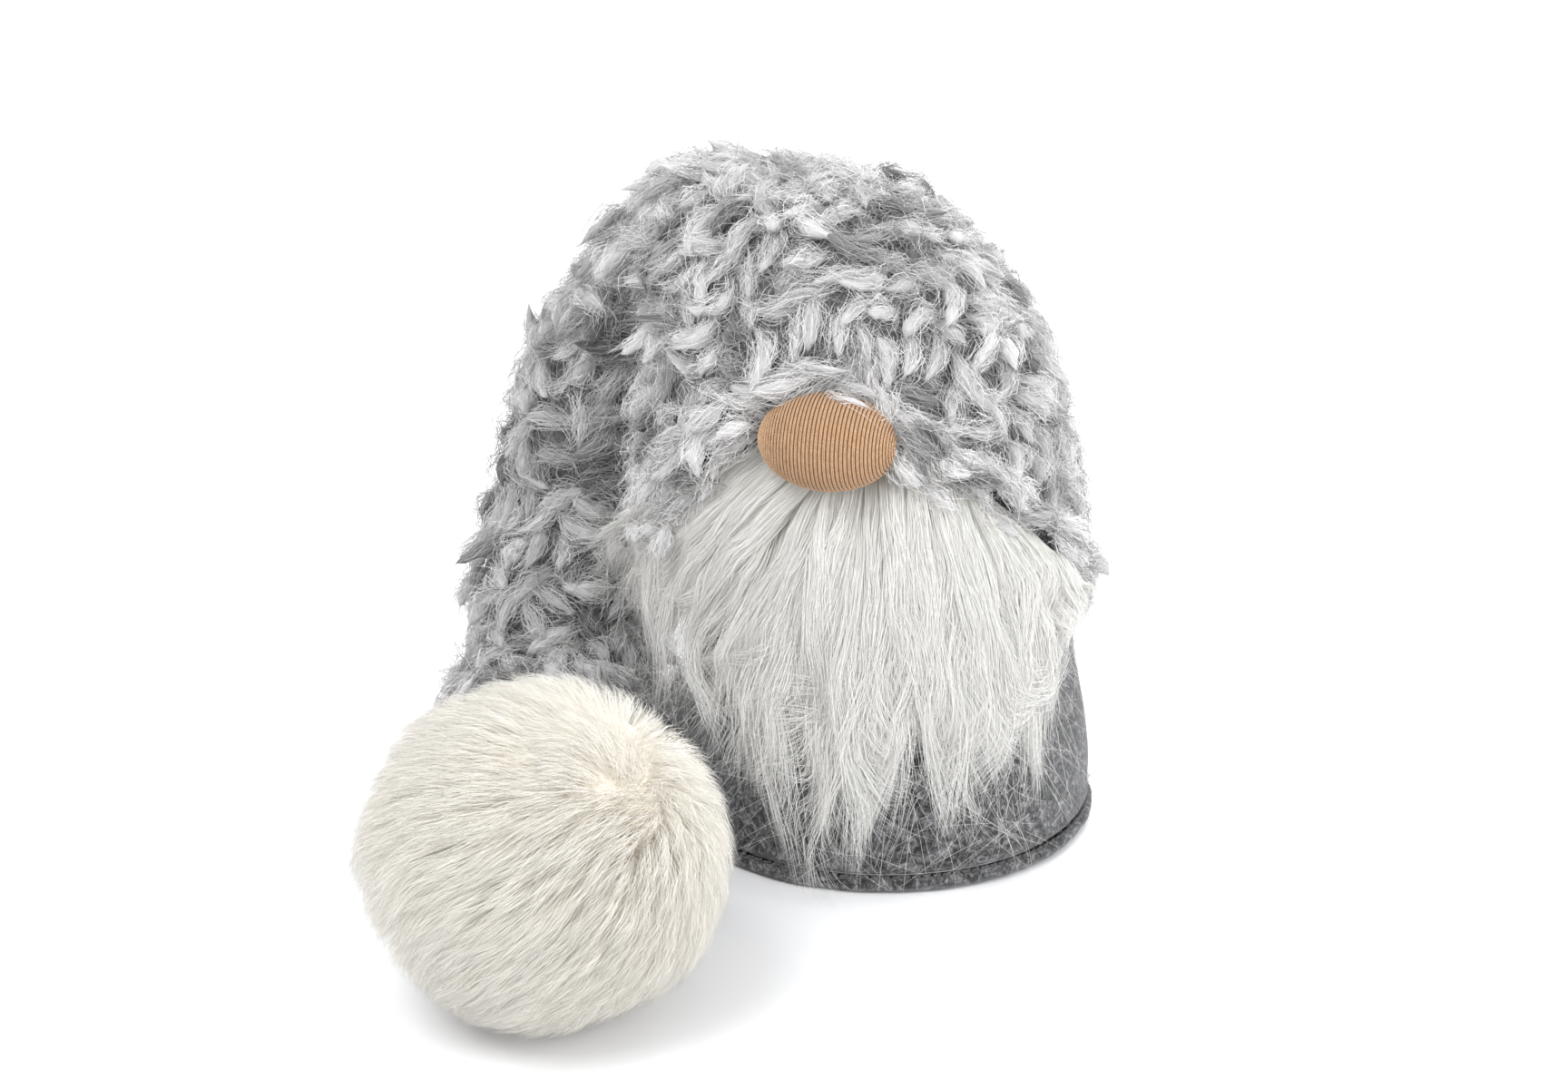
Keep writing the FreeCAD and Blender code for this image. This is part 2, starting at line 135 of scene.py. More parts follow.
def make_light(name, place, aim, size, power):
    data = bpy.data.lights.new(name, "AREA")
    data.shape = "DISK"
    data.size = size
    data.energy = power
    lamp = bpy.data.objects.new(name, data)
    bpy.context.scene.collection.objects.link(lamp)
    lamp.location = place
    lamp.rotation_mode = "QUATERNION"
    lamp.rotation_quaternion = (Vector(aim) - Vector(place)).to_track_quat("-Z", "Y")


def make_studio():
    world = bpy.data.worlds.new("studio")
    world.use_nodes = True
    background = world.node_tree.nodes["Background"]
    background.inputs["Color"].default_value = (0.96, 0.98, 1.0, 1.0)
    background.inputs["Strength"].default_value = 0.95
    bpy.context.scene.world = world
    bpy.context.scene.view_settings.view_transform = "Standard"
    middle = (0.0, -0.05, 0.08)
    make_light("key", (-0.35, -0.75, 1.05), middle, 0.7, 8.4)
    make_light("fill", (0.95, -0.45, 0.55), middle, 0.8, 6.5)
    make_light("back", (0.2, 0.9, 0.9), middle, 0.8, 10.0)
    floor_size = 30.0
    mesh = bpy.data.meshes.new("floor")
    half = floor_size / 2
    mesh.from_pydata(
        [(-half, -half, 0), (half, -half, 0), (half, half, 0), (-half, half, 0)],
        [], [(0, 1, 2, 3)],
    )
    floor = bpy.data.objects.new("floor", mesh)
    bpy.context.scene.collection.objects.link(floor)
    material = bpy.data.materials.new("floor_paper")
    material.use_nodes = True
    shader = material.node_tree.nodes["Principled BSDF"]
    shader.inputs["Base Color"].default_value = (0.93, 0.93, 0.94, 1.0)
    shader.inputs["Roughness"].default_value = 0.9
    mesh.materials.append(material)


make_camera()
make_studio()


# ---------------------------------------------------------------- numbers
def random_for(name):
    """A seeded source of random numbers for one piece."""
    return np.random.default_rng(zlib.crc32(name.encode()))


def unit(vectors):
    length = np.linalg.norm(vectors, axis=-1, keepdims=True)
    return vectors / np.maximum(length, 1e-12)


def waves(points, wavelength, seed, count=7):
    """Smooth noise from -1 to 1 at points, from crossing sine waves."""
    source = np.random.default_rng(seed)
    total = np.zeros(points.shape[:-1])
    for _ in range(count):
        direction = unit(source.normal(size=3))
        stretch = source.uniform(0.6, 1.6)
        phase = source.uniform(0, 2 * math.pi)
        total += np.sin(points @ direction * (2 * math.pi / wavelength * stretch) + phase)
    return total / math.sqrt(count)


def wave_vectors(points, wavelength, seed):
    return np.stack([waves(points, wavelength, seed + axis) for axis in range(3)], axis=-1)


def smooth_step(values):
    values = np.clip(values, 0.0, 1.0)
    return values * values * (3 - 2 * values)


# ---------------------------------------------------------------- meshes
def place_points(mesh, points):
    """Put a mesh's vertices at some points."""
    mesh.vertices.foreach_set("co", np.asarray(points, np.float32).ravel())


def evaluated_mesh(piece):
    """A new mesh with the shape that a piece has after its modifiers."""
    return bpy.data.meshes.new_from_object(
        piece.evaluated_get(bpy.context.evaluated_depsgraph_get())
    )


def cover(mesh, material):
    """Give a mesh one material and no other."""
    mesh.materials.clear()
    mesh.materials.append(material)


def new_object(name, mesh):
    piece = bpy.data.objects.new(name, mesh)
    bpy.context.scene.collection.objects.link(piece)
    return piece


def mesh_piece(name, points, quads, triangles, material, **values):
    """A smooth mesh from arrays, with a value at each point for each named attribute."""
    mesh = bpy.data.meshes.new(name)
    quads = np.asarray(quads, np.int32).reshape(-1, 4)
    triangles = np.asarray(triangles, np.int32).reshape(-1, 3)
    mesh.vertices.add(len(points))
    place_points(mesh, points)
    loops = np.concatenate([quads.ravel(), triangles.ravel()])
    mesh.loops.add(len(loops))
    mesh.loops.foreach_set("vertex_index", loops)
    starts = np.concatenate([
        np.arange(len(quads)) * 4, len(quads) * 4 + np.arange(len(triangles)) * 3
    ]).astype(np.int32)
    mesh.polygons.add(len(starts))
    mesh.polygons.foreach_set("loop_start", starts)
    mesh.polygons.foreach_set("use_smooth", np.ones(len(starts), bool))
    mesh.update(calc_edges=True)
    for attribute, numbers in values.items():
        layer = mesh.attributes.new(attribute, "FLOAT", "POINT")
        layer.data.foreach_set("value", np.asarray(numbers, np.float32).ravel())
    mesh.materials.append(material)
    return new_object(name, mesh)


def tube_arrays(paths, radii, sides, source):
    """Closed tapering tubes along many paths at once; each ends in a point.

    paths is (tubes, rings, 3) and radii (tubes, rings). Returns points, quads and
    triangles, and for each point the tube's number, its share along and around."""
    count, rings, _ = paths.shape
    tangents = unit(np.gradient(paths, axis=1))
    across = np.cross(tangents.mean(axis=1), source.normal(size=(count, 3)))
    across = unit(across)[:, None, :]
    first = unit(across - (across * tangents).sum(-1, keepdims=True) * tangents)
    second = np.cross(tangents, first)
    angles = np.arange(sides) * (2 * math.pi / sides)
    around = (
        first[:, :-1, None, :] * np.cos(angles)[:, None]
        + second[:, :-1, None, :] * np.sin(angles)[:, None]
    )
    shell = paths[:, :-1, None, :] + around * radii[:, :-1, None, None]
    per_tube = (rings - 1) * sides + 1
    points = np.concatenate([shell.reshape(count, -1, 3), paths[:, -1:, :]], axis=1)
    base = (np.arange(count) * per_tube)[:, None, None]
    ring = np.arange(rings - 2)[None, :, None] * sides
    corner = np.arange(sides)[None, None, :]
    following = (corner + 1) % sides
    quads = np.stack([
        base + ring + corner, base + ring + following,
        base + ring + sides + following, base + ring + sides + corner,
    ], axis=-1).reshape(-1, 4)
    last = (rings - 2) * sides
    tips = np.stack([
        base[:, 0] + last + corner[:, 0], base[:, 0] + last + following[:, 0],
        np.broadcast_to(base[:, 0] + per_tube - 1, (count, sides)),
    ], axis=-1).reshape(-1, 3)
    fan = [
        np.concatenate([base[:, 0], base[:, 0] + step + 1, base[:, 0] + step], axis=-1)
        for step in range(1, sides - 1)
    ]
    triangles = np.concatenate([tips] + fan)
    tube = np.repeat(np.arange(count), per_tube)
    along = np.append(np.repeat(np.arange(rings - 1), sides), rings - 1) / (rings - 1)
    turn = np.append(np.tile(np.arange(sides) / sides, rings - 1), 0.0)
    return points.reshape(-1, 3), quads, triangles, tube, np.tile(along, count), np.tile(turn, count)


def tube_triangles(rings, sides):
    return (rings - 2) * sides * 2 + sides + sides - 2


# A piece with more triangles than this is split, so that none of its faces is thinned out.
MOST_TRIANGLES = 185_000


def strand_pieces(name, paths, radii, material, sides=3, **values):
    """Strands as one or more pieces, each small enough to keep all its faces.

    Every value is one number for each strand."""
    source = random_for(name)
    each = tube_triangles(paths.shape[1], sides)
    groups = max(1, math.ceil(len(paths) * each / MOST_TRIANGLES))
    shuffled = source.permutation(len(paths))
    made = []
    for number in range(groups):
        chosen = shuffled[number::groups]
        points, quads, triangles, tube, along, around = tube_arrays(
            paths[chosen], radii[chosen], sides, source
        )
        spread = {key: numbers[chosen][tube] for key, numbers in values.items()}
        label = name if groups == 1 else "%s_%d" % (name, number + 1)
        made.append(mesh_piece(
            label, points, quads, triangles, material, along=along, around=around, **spread
        ))
    return made


def grid_faces(rows, columns, wrap):
    """Quads of a grid of points, row by row, wrapping round across its columns."""
    row = np.arange(rows - 1)[:, None] * columns
    column = np.arange(columns if wrap else columns - 1)[None, :]
    following = (column + 1) % columns
    return np.stack([
        row + column, row + following, row + columns + following, row + columns + column
    ], axis=-1).reshape(-1, 4)


def soft_form(name, parts, smoothing, inset, voxel=2.5 * MM):
    """One smooth closed mesh round the CAD solids of some nodes, drawn in by an inset."""
    joined = bmesh.new()
    for part in parts:
        joined.from_mesh(nodes[part].data)
    mesh = bpy.data.meshes.new(name + "_rough")
    joined.to_mesh(mesh)
    joined.free()
    rough = new_object(name + "_rough", mesh)
    remesh = rough.modifiers.new("remesh", "REMESH")
    remesh.mode = "VOXEL"
    remesh.voxel_size = voxel
    smooth = rough.modifiers.new("smooth", "SMOOTH")
    smooth.factor = 0.6
    smooth.iterations = smoothing
    shaped = evaluated_mesh(rough)
    bpy.data.objects.remove(rough)
    points, normals = mesh_arrays(shaped)
    place_points(shaped, points - normals * inset)
    shaped.update()
    shaped.name = name
    return shaped


def mesh_arrays(mesh):
    """Points and normals of a mesh's vertices."""
    return read_vectors(mesh.vertices, "co"), read_vectors(mesh.vertices, "normal")


def mesh_faces(mesh):
    """Centres, normals and areas of a mesh's faces."""
    areas = np.empty(len(mesh.polygons), np.float32)
    mesh.polygons.foreach_get("area", areas)
    return read_vectors(mesh.polygons, "center"), read_vectors(mesh.polygons, "normal"), areas


def scatter(centres, normals, areas, spacing, source):
    """Places on a surface at least a spacing apart, with their normals."""
    reach = math.sqrt(areas.mean()) / 2
    tries = int(areas.sum() / spacing ** 2 * 5)
    picked = source.choice(len(areas), size=tries, p=areas / areas.sum())
    places = centres[picked] + source.uniform(-reach, reach, (tries, 3))
    places -= normals[picked] * ((places - centres[picked]) * normals[picked]).sum(-1)[:, None]
    kept, cells = [], {}
    keys = np.floor(places / spacing).astype(int)
    near = [(x, y, z) for x in (-1, 0, 1) for y in (-1, 0, 1) for z in (-1, 0, 1)]
    for index, (place, key) in enumerate(zip(places, keys)):
        close = [
            other for x, y, z in near
            for other in cells.get((key[0] + x, key[1] + y, key[2] + z), ())
        ]
        if all(((place - places[other]) ** 2).sum() > spacing ** 2 for other in close):
            kept.append(index)
            cells.setdefault(tuple(key), []).append(index)
    return places[kept], normals[picked[kept]]


# ---------------------------------------------------------------- materials
class Nodes:
    """Short calls for building a material's node tree."""

    def __init__(self, name):
        self.material = bpy.data.materials.new(name)
        self.material.use_nodes = True
        self.tree = self.material.node_tree
        self.shader = self.tree.nodes["Principled BSDF"]

    def add(self, kind, **settings):
        made = self.tree.nodes.new(kind)
        for key, value in settings.items():
            setattr(made, key, value)
        return made

    def link(self, output, target):
        self.tree.links.new(output, target)

    def feed(self, socket, item):
        """Give a socket a number, a colour or another node's output."""
        if isinstance(item, (int, float)):
            socket.default_value = item
        elif isinstance(item, tuple):
            socket.default_value = (*item, 1.0)
        else:
            self.link(item, socket)

    def value(self, attribute):
        return self.add("ShaderNodeAttribute", attribute_name=attribute).outputs["Fac"]

    def places(self, stretch=(1, 1, 1)):
        """The piece's own coordinates, in metres, stretched along its axes."""
        mapping = self.add("ShaderNodeMapping")
        mapping.inputs["Scale"].default_value = stretch
        self.link(self.add("ShaderNodeTexCoord").outputs["Object"], mapping.inputs["Vector"])
        return mapping.outputs["Vector"]

    def noise(self, vector, scale, detail=3.0, roughness=0.55, distortion=0.0):
        made = self.add("ShaderNodeTexNoise")
        made.inputs["Scale"].default_value = scale
        made.inputs["Detail"].default_value = detail
        made.inputs["Roughness"].default_value = roughness
        made.inputs["Distortion"].default_value = distortion
        self.link(vector, made.inputs["Vector"])
        return made.outputs["Fac"]

    def ramp(self, factor, stops):
        made = self.add("ShaderNodeValToRGB")
        elements = made.color_ramp.elements
        while len(elements) < len(stops):
            elements.new(0.5)
        for element, (place, colour) in zip(elements, stops):
            element.position = place
            element.color = (*colour, 1.0)
        self.link(factor, made.inputs["Fac"])
        return made.outputs["Color"]

    def math(self, operation, first, second):
        made = self.add("ShaderNodeMath", operation=operation)
        for socket, item in zip(made.inputs, (first, second)):
            self.feed(socket, item)
        return made.outputs["Value"]

    def mix(self, factor, first, second, blend="MIX"):
        made = self.add("ShaderNodeMix", data_type="RGBA", blend_type=blend)
        for socket, item in zip((made.inputs[0], made.inputs[6], made.inputs[7]),
                                (factor, first, second)):
            self.feed(socket, item)
        return made.outputs[2]

    def bump(self, height, strength, distance):
        made = self.add("ShaderNodeBump")
        made.inputs["Strength"].default_value = strength
        made.inputs["Distance"].default_value = distance
        self.link(height, made.inputs["Height"])
        self.link(made.outputs["Normal"], self.shader.inputs["Normal"])

    def finish(self, colour, roughness, sheen=0.0, specular=0.3, glow=0.0):
        self.link(colour, self.shader.inputs["Base Color"])
        self.feed(self.shader.inputs["Roughness"], roughness)
        self.shader.inputs["Sheen Weight"].default_value = sheen
        self.shader.inputs["Sheen Roughness"].default_value = 0.5
        self.shader.inputs["Specular IOR Level"].default_value = specular
        self.shader.inputs["Emission Color"].default_value = (1.0, 0.985, 0.96, 1.0)
        self.shader.inputs["Emission Strength"].default_value = glow
        return self.material


def grey(level):
    return (level, level, level * 1.01)


def fur_material(name, root, tip, shade, roughness=0.5, specular=0.35, glow=0.0):
    """Hair: darker at its root, as painted shade deep in the fur, and each strand a little lighter or
    darker.

    The glow stands for the light that passes through fine pale hairs."""
    tree = Nodes(name)
    # Painted shade: the darker root colour stands for the shade deep in the fur.
    length = tree.ramp(tree.value("along"), [(0.0, root), (0.45, tip), (1.0, tip)])
    varied = tree.mix(tree.value("tone"), shade, (1.0, 1.0, 1.0))
    return tree.finish(tree.mix(1.0, length, varied, "MULTIPLY"), roughness, 0.15, specular, glow)


def felt_material():
    """Grey wool felt: mottled fibres in lighter and darker greys."""
    tree = Nodes("grey_wool_felt")
    places = tree.places()
    fibres = tree.noise(places, 330.0, 6.0, 0.8, 1.2)
    cloud = tree.noise(places, 110.0, 3.0, 0.6)
    mottled = tree.ramp(fibres, [
        (0.38, grey(0.012)), (0.47, grey(0.050)), (0.53, grey(0.110)), (0.62, grey(0.30)),
    ])
    clouded = tree.ramp(cloud, [(0.3, grey(0.75)), (0.7, grey(1.0))])
    tree.bump(fibres, 0.55, 0.0009)
    roughness = tree.ramp(fibres, [(0.3, grey(0.97)), (0.8, grey(0.85))])
    return tree.finish(tree.mix(1.0, mottled, clouded, "MULTIPLY"), roughness, 0.35, 0.15)


def wool_material(name, dark, light, sheen=0.45):
    """Roving and boucle cloth: streaky fibres, each tuft with its own tone."""
    tree = Nodes(name)
    joined = tree.add("ShaderNodeCombineXYZ")
    tree.link(tree.math("MULTIPLY", tree.value("around"), 26.0), joined.inputs[0])
    tree.link(tree.math("MULTIPLY", tree.value("along"), 3.0), joined.inputs[1])
    tree.link(tree.math("MULTIPLY", tree.value("tone"), 91.0), joined.inputs[2])
    streaks = tree.noise(joined.outputs["Vector"], 1.0, 4.0, 0.7, 0.6)
    base = tree.ramp(tree.value("tone"), [
        (0.0, dark), (0.25, tuple(0.45 * a + 0.15 * b for a, b in zip(dark, light))),
        (0.55, tuple(0.62 * b for b in light)), (1.0, light),
    ])
    streaked = tree.ramp(streaks, [(0.3, grey(0.72)), (0.62, grey(1.0))])
    tree.bump(streaks, 0.5, 0.0006)
    roughness = tree.ramp(streaks, [(0.3, grey(0.95)), (0.7, grey(0.8))])
    return tree.finish(tree.mix(1.0, base, streaked, "MULTIPLY"), roughness, sheen, 0.15)


def cloth_material(name, dark, light, scale, bump=0.0005, sheen=0.3):
    """Plain soft cloth or thread with a fine uneven surface."""
    tree = Nodes(name)
    fibres = tree.noise(tree.places(), scale, 5.0, 0.7, 0.8)
    colour = tree.ramp(fibres, [(0.3, dark), (0.7, light)])
    tree.bump(fibres, 0.5, bump)
    roughness = tree.ramp(fibres, [(0.3, grey(0.95)), (0.7, grey(0.75))])
    return tree.finish(colour, roughness, sheen, 0.2)


def knit_material():
    """Tan jersey yarn, fine fibres twisted along each stitch."""
    tree = Nodes("tan_jersey_knit")
    fibres = tree.noise(tree.places((1, 1, 0.4)), 2600.0, 3.0, 0.6)
    yarn = tree.ramp(fibres, [(0.25, (0.44, 0.262, 0.142)), (0.7, (0.62, 0.395, 0.232))])
    varied = tree.mix(tree.value("tone"), (0.88, 0.86, 0.84), (1.0, 1.0, 1.0))
    tree.bump(fibres, 0.3, 0.0002)
    roughness = tree.ramp(fibres, [(0.25, grey(0.85)), (0.7, grey(0.65))])
    return tree.finish(tree.mix(1.0, yarn, varied, "MULTIPLY"), roughness, 0.25, 0.25)


felt = felt_material()
# Each fur's first colour is its root colour, made darker as painted shade deep in the fur.
fuzz = fur_material("felt_fuzz", grey(0.30), grey(0.50), grey(0.10), 0.7, 0.2)
thread = cloth_material("grey_cotton_thread", grey(0.05), grey(0.11), 2500.0, 0.0002)
hat_cloth = cloth_material("hat_ground_cloth", grey(0.045), grey(0.22), 700.0, 0.0008, 0.2)
roving = wool_material("hat_roving", grey(0.06), (0.86, 0.845, 0.84), 0.1)
wisps = fur_material(
    "hat_wisps", (0.84, 0.83, 0.82), (0.95, 0.935, 0.93), grey(0.13), 0.8, 0.08, glow=0.06
)
beard_hair = fur_material(
    "beard_hair", (0.82, 0.81, 0.77), (0.865, 0.855, 0.835), (0.92, 0.92, 0.90), 0.6, 0.22, glow=0.05
)
fur_cloth = cloth_material("fur_backing_cloth", (0.74, 0.75, 0.66), (0.88, 0.88, 0.80), 1200.0)
pompom_hair = fur_material(
    "pompom_hair", (0.82, 0.76, 0.665), (0.87, 0.845, 0.785), (0.965, 0.95, 0.925), 0.8, 0.10, glow=0.05
)
# Painted shade: the underfur's darker beige stands for the shade deep inside the fur.
pompom_under = cloth_material("pompom_shaded_underfur", (0.80, 0.73, 0.62), (0.92, 0.87, 0.78), 500.0)
knit = knit_material()
# Painted shade: this dark brown under the stitches stands for the shade between them.
knit_shadow = cloth_material(
    "painted_shade_between_stitches", (0.22, 0.115, 0.055), (0.33, 0.18, 0.09), 2000.0, 0.0002
)
wadding = cloth_material("white_wadding", grey(0.70), grey(0.88), 300.0, 0.001)
card = cloth_material("base_card", (0.30, 0.24, 0.18), (0.42, 0.35, 0.27), 900.0, 0.0002, 0.0)
pouch_cotton = cloth_material("pouch_cotton", (0.55, 0.53, 0.48), (0.72, 0.70, 0.65), 1500.0)
pellet_plastic = cloth_material("pellets", grey(0.5), grey(0.8), 400.0, 0.001, 0.0)


def dress_frame():
    """Give each carried-over CAD node its material."""
    worn = {
        "base_stiffener": card, "weight_pouch": pouch_cotton, "weight_pellets": pellet_plastic,
        "body_stuffing": wadding, "gathering_thread": thread, "nose_filling": wadding,
        "nose_knot": knit, "tail_tip_tie": thread, "pompom_backing": fur_cloth,
        "pompom_filling": wadding, "pompom_thread": fur_cloth,
    }
    for name, material in worn.items():
        cover(nodes[name].data, material)


dress_frame()


# ---------------------------------------------------------------- felt body and base
def turned_points(radii, heights, columns):
    """Rings of points round the upright axis, one ring for each radius and height."""
    angles = np.arange(columns) * (2 * math.pi / columns)
    return np.stack([
        radii[:, None] * np.cos(angles), radii[:, None] * np.sin(angles),
        np.broadcast_to(heights[:, None], (len(heights), columns)),
    ], axis=-1)


def swell(piece, held, pressure, most):
    """Press a cloth mesh out from inside, as stuffing does, and keep the shape it takes.

    The cloth is simulated ten times as large as it is, because the solver is made for
    larger cloth. held has the numbers of the points that stay, and most caps a move."""
    enlarged = 10.0
    still, _ = mesh_arrays(piece.data)
    place_points(piece.data, still * enlarged)
    piece.vertex_groups.new(name="held").add([int(index) for index in held], 1.0, "REPLACE")
    modifier = piece.modifiers.new("cloth", "CLOTH")
    cloth = modifier.settings
    cloth.vertex_group_mass = "held"
    cloth.quality = 4
    cloth.use_pressure = True
    cloth.uniform_pressure_force = pressure
    cloth.bending_stiffness = 5.0
    cloth.effector_weights.gravity = 0.0
    last_frame = 20
    modifier.point_cache.frame_end = last_frame
    scene = bpy.context.scene
    for frame_number in range(1, last_frame + 1):
        scene.frame_set(frame_number)
    shaped = evaluated_mesh(piece)
    moved = mesh_arrays(shaped)[0] / enlarged - still
    bpy.data.meshes.remove(shaped)
    piece.modifiers.clear()
    piece.vertex_groups.clear()
    scene.frame_set(1)
    size = np.linalg.norm(moved, axis=-1, keepdims=True)
    moved *= np.minimum(1.0, most / np.maximum(size, 1e-9))
    place_points(piece.data, still + moved)
    piece.data.update()


def subdivide(piece):
    """Apply one level of subdivision to a piece."""
    piece.modifiers.new("smoother", "SUBSURF").levels = 1
    finer = evaluated_mesh(piece)
    piece.modifiers.clear()
    coarse, piece.data = piece.data, finer
    bpy.data.meshes.remove(coarse)
    finer.name = piece.name


def make_body():
    """The felt bell, swollen and softly lumpy from its stuffing, tucked in at its base seam."""
    low, high = corners("body_cover")
    columns = 120
    near_seam = low[2] + np.array([0, 0.1, 0.5, 1.0, 1.5, 2.1, 2.9, 4.0, 5.4]) * MM
    above = low[2] + 7 * MM
    share = np.linspace(0, 1, 50) ** 0.9
    heights = np.append(near_seam, above + (high[2] - above) * np.sin(share * math.pi / 2))
    rows = len(heights)
    slack = 0.8 * MM
    gathered = 1.0 * MM
    radii = felt_radius(heights) - slack * smooth_step((heights - above) / (9 * MM))
    radii = np.maximum(radii, gathered)
    tuck = 1.6 * MM * np.exp(-((heights - low[2]) / (1.3 * MM)) ** 2)
    points = turned_points(radii - tuck, heights, columns)
    outward = unit(points * (1, 1, 0))
    lumps = 0.7 * MM * waves(points, 45 * MM, 11) + 0.25 * MM * waves(points, 14 * MM, 12)
    fade = smooth_step((heights - low[2]) / (10 * MM)) * smooth_step((high[2] - heights) / (20 * MM))
    points = points + outward * (lumps * fade[:, None])[..., None]
    edge = turned_points(radii - tuck - 0.1 * MM, heights, columns)[:1]
    inner = turned_points(radii - tuck - 2.2 * MM, heights, columns)[:1]
    inner_low = inner * (1, 1, 0) + (0, 0, low[2] + 0.3 * MM)
    points = np.concatenate([inner_low, edge, points]).reshape(-1, 3)
    faces = grid_faces(rows + 2, columns, True)
    piece = mesh_piece("felt_body", points, faces, [], felt)
    under_hat = 0.90 * high[2]
    held = np.flatnonzero((points[:, 2] < above) | (points[:, 2] > under_hat))
    swell(piece, held, pressure=30.0, most=1.6 * MM)
    subdivide(piece)
    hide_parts("body_cover")
    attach(piece, "gnome")


def make_base():
    """The felt dish under the gnome, with its rolled lip below the seam."""
    _, high = corners("base_felt")
    radius = high[0]
    lip = high[2]
    corner = 3.4 * MM
    bend = np.linspace(0, math.pi / 2, 7)
    radii = np.concatenate([
        np.linspace(0, radius - corner, 14)[:-1], radius - corner + corner * np.sin(bend),
        radius - np.array([0.15, 0.7, 1.8, 3.0]) * MM,
    ])
    heights = np.concatenate([
        np.zeros(13), corner - corner * np.cos(bend), lip + np.array([-0.45, 0.0, 0.15, -0.6]) * MM,
    ])
    columns = 240
    points = turned_points(radii, heights + 0.02 * MM, columns)
    ripple = 0.18 * MM * waves(points, 12 * MM, 21)
    points = points + unit(points * (1, 1, 0)) * ripple[..., None]
    piece = mesh_piece(
        "felt_base", points.reshape(-1, 3), grid_faces(len(radii), columns, True)[:, ::-1], [], felt
    )
    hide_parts("base_felt")
    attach(piece, "gnome")


def make_base_stitches():
    """A row of small stitches in the groove between dish and body."""
    low, high = corners("base_seam_thread")
    radius = high[0] + 0.1 * MM
    middle = (low[2] + high[2]) / 2
    count, rings = 132, 7
    start = np.arange(count) * (2 * math.pi / count)
    span = 2 * math.pi / count * 0.82
    share = np.linspace(0, 1, rings)
    angles = start[:, None] + span * share
    rise = 0.35 * MM * np.sin(share * math.pi)
    reach = radius - 0.6 * MM + rise
    height = middle + 0.5 * MM * (share - 0.5)
    paths = np.stack([
        reach * np.cos(angles), reach * np.sin(angles), np.broadcast_to(height, angles.shape)
    ], axis=-1)
    radii = np.full((count, rings), 0.42 * MM)
    pieces = strand_pieces("base_stitches", paths, radii, thread, sides=5)
    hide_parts("base_seam_thread")
    for piece in pieces:
        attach(piece, "gnome")


def make_back_seam():
    """The closing seam up the back: a felt ridge crossed by ladder stitches."""
    low, high = corners("back_seam")
    rows, columns = 70, 9
    heights = np.linspace(low[2], high[2] * 0.97, rows)
    across = np.linspace(-1, 1, columns)
    half = 1.5 * MM
    ridge = 1.0 * MM * np.cos(across * math.pi / 2) ** 0.6
    groove = 0.55 * MM * np.exp(-(across / 0.18) ** 2)
    radius = felt_radius(heights)[:, None] + (ridge - groove) - 0.3 * MM
    points = np.stack([
        np.broadcast_to(across * half, radius.shape), radius,
        np.broadcast_to(heights[:, None], radius.shape),
    ], axis=-1)
    piece = mesh_piece(
        "seam_ridge", points.reshape(-1, 3), grid_faces(rows, columns, False)[:, ::-1], [], felt
    )
    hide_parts("back_seam")
    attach(piece, "gnome")
    count, rings = 40, 6
    start = np.linspace(low[2] + 2 * MM, high[2] * 0.9, count)
    share = np.linspace(-1, 1, rings)
    reach = felt_radius(start)[:, None] + 0.75 * MM * np.sqrt(np.maximum(0, 1 - share ** 2 * 0.9))
    paths = np.stack([
        np.broadcast_to(share * 1.5 * MM, reach.shape), reach,
        start[:, None] + share * 0.7 * MM,
    ], axis=-1)
    radii = np.full((count, rings), 0.25 * MM)
    for stitches in strand_pieces("back_stitches", paths, radii, thread, sides=5):
        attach(stitches, "gnome")


def make_felt_fuzz():
    """Short loose fibres standing off the felt."""
    source = random_for("felt_fuzz")
    count, rings = 12000, 4
    height = source.uniform(1.5 * MM, 80 * MM, count)
    angle = source.uniform(0, 2 * math.pi, count)
    radius = felt_radius(height) - 0.2 * MM
    root = np.stack([radius * np.cos(angle), radius * np.sin(angle), height], axis=-1)
    out = unit(root * (1, 1, 0))
    lean = unit(source.normal(size=(count, 3)))
    length = source.uniform(0.8, 2.8, count) * MM
    share = np.linspace(0, 1, rings)[None, :, None]
    curl = unit(np.cross(out, lean))
    paths = (
        root[:, None] + out[:, None] * share * length[:, None, None] * 0.35
        + lean[:, None] * share * length[:, None, None] * 0.7
        + curl[:, None] * share ** 2 * length[:, None, None] * 0.5
    )
    paths[..., 2] = np.maximum(paths[..., 2], 0.2 * MM)
    radii = 0.05 * MM * np.linspace(1, 0.5, rings)[None] * np.ones((count, 1))
    for piece in strand_pieces("felt_fuzz", paths, radii, fuzz, tone=source.uniform(0, 1, count)):
        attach(piece, "gnome")


make_body()
make_base()
make_base_stitches()
make_back_seam()
make_felt_fuzz()


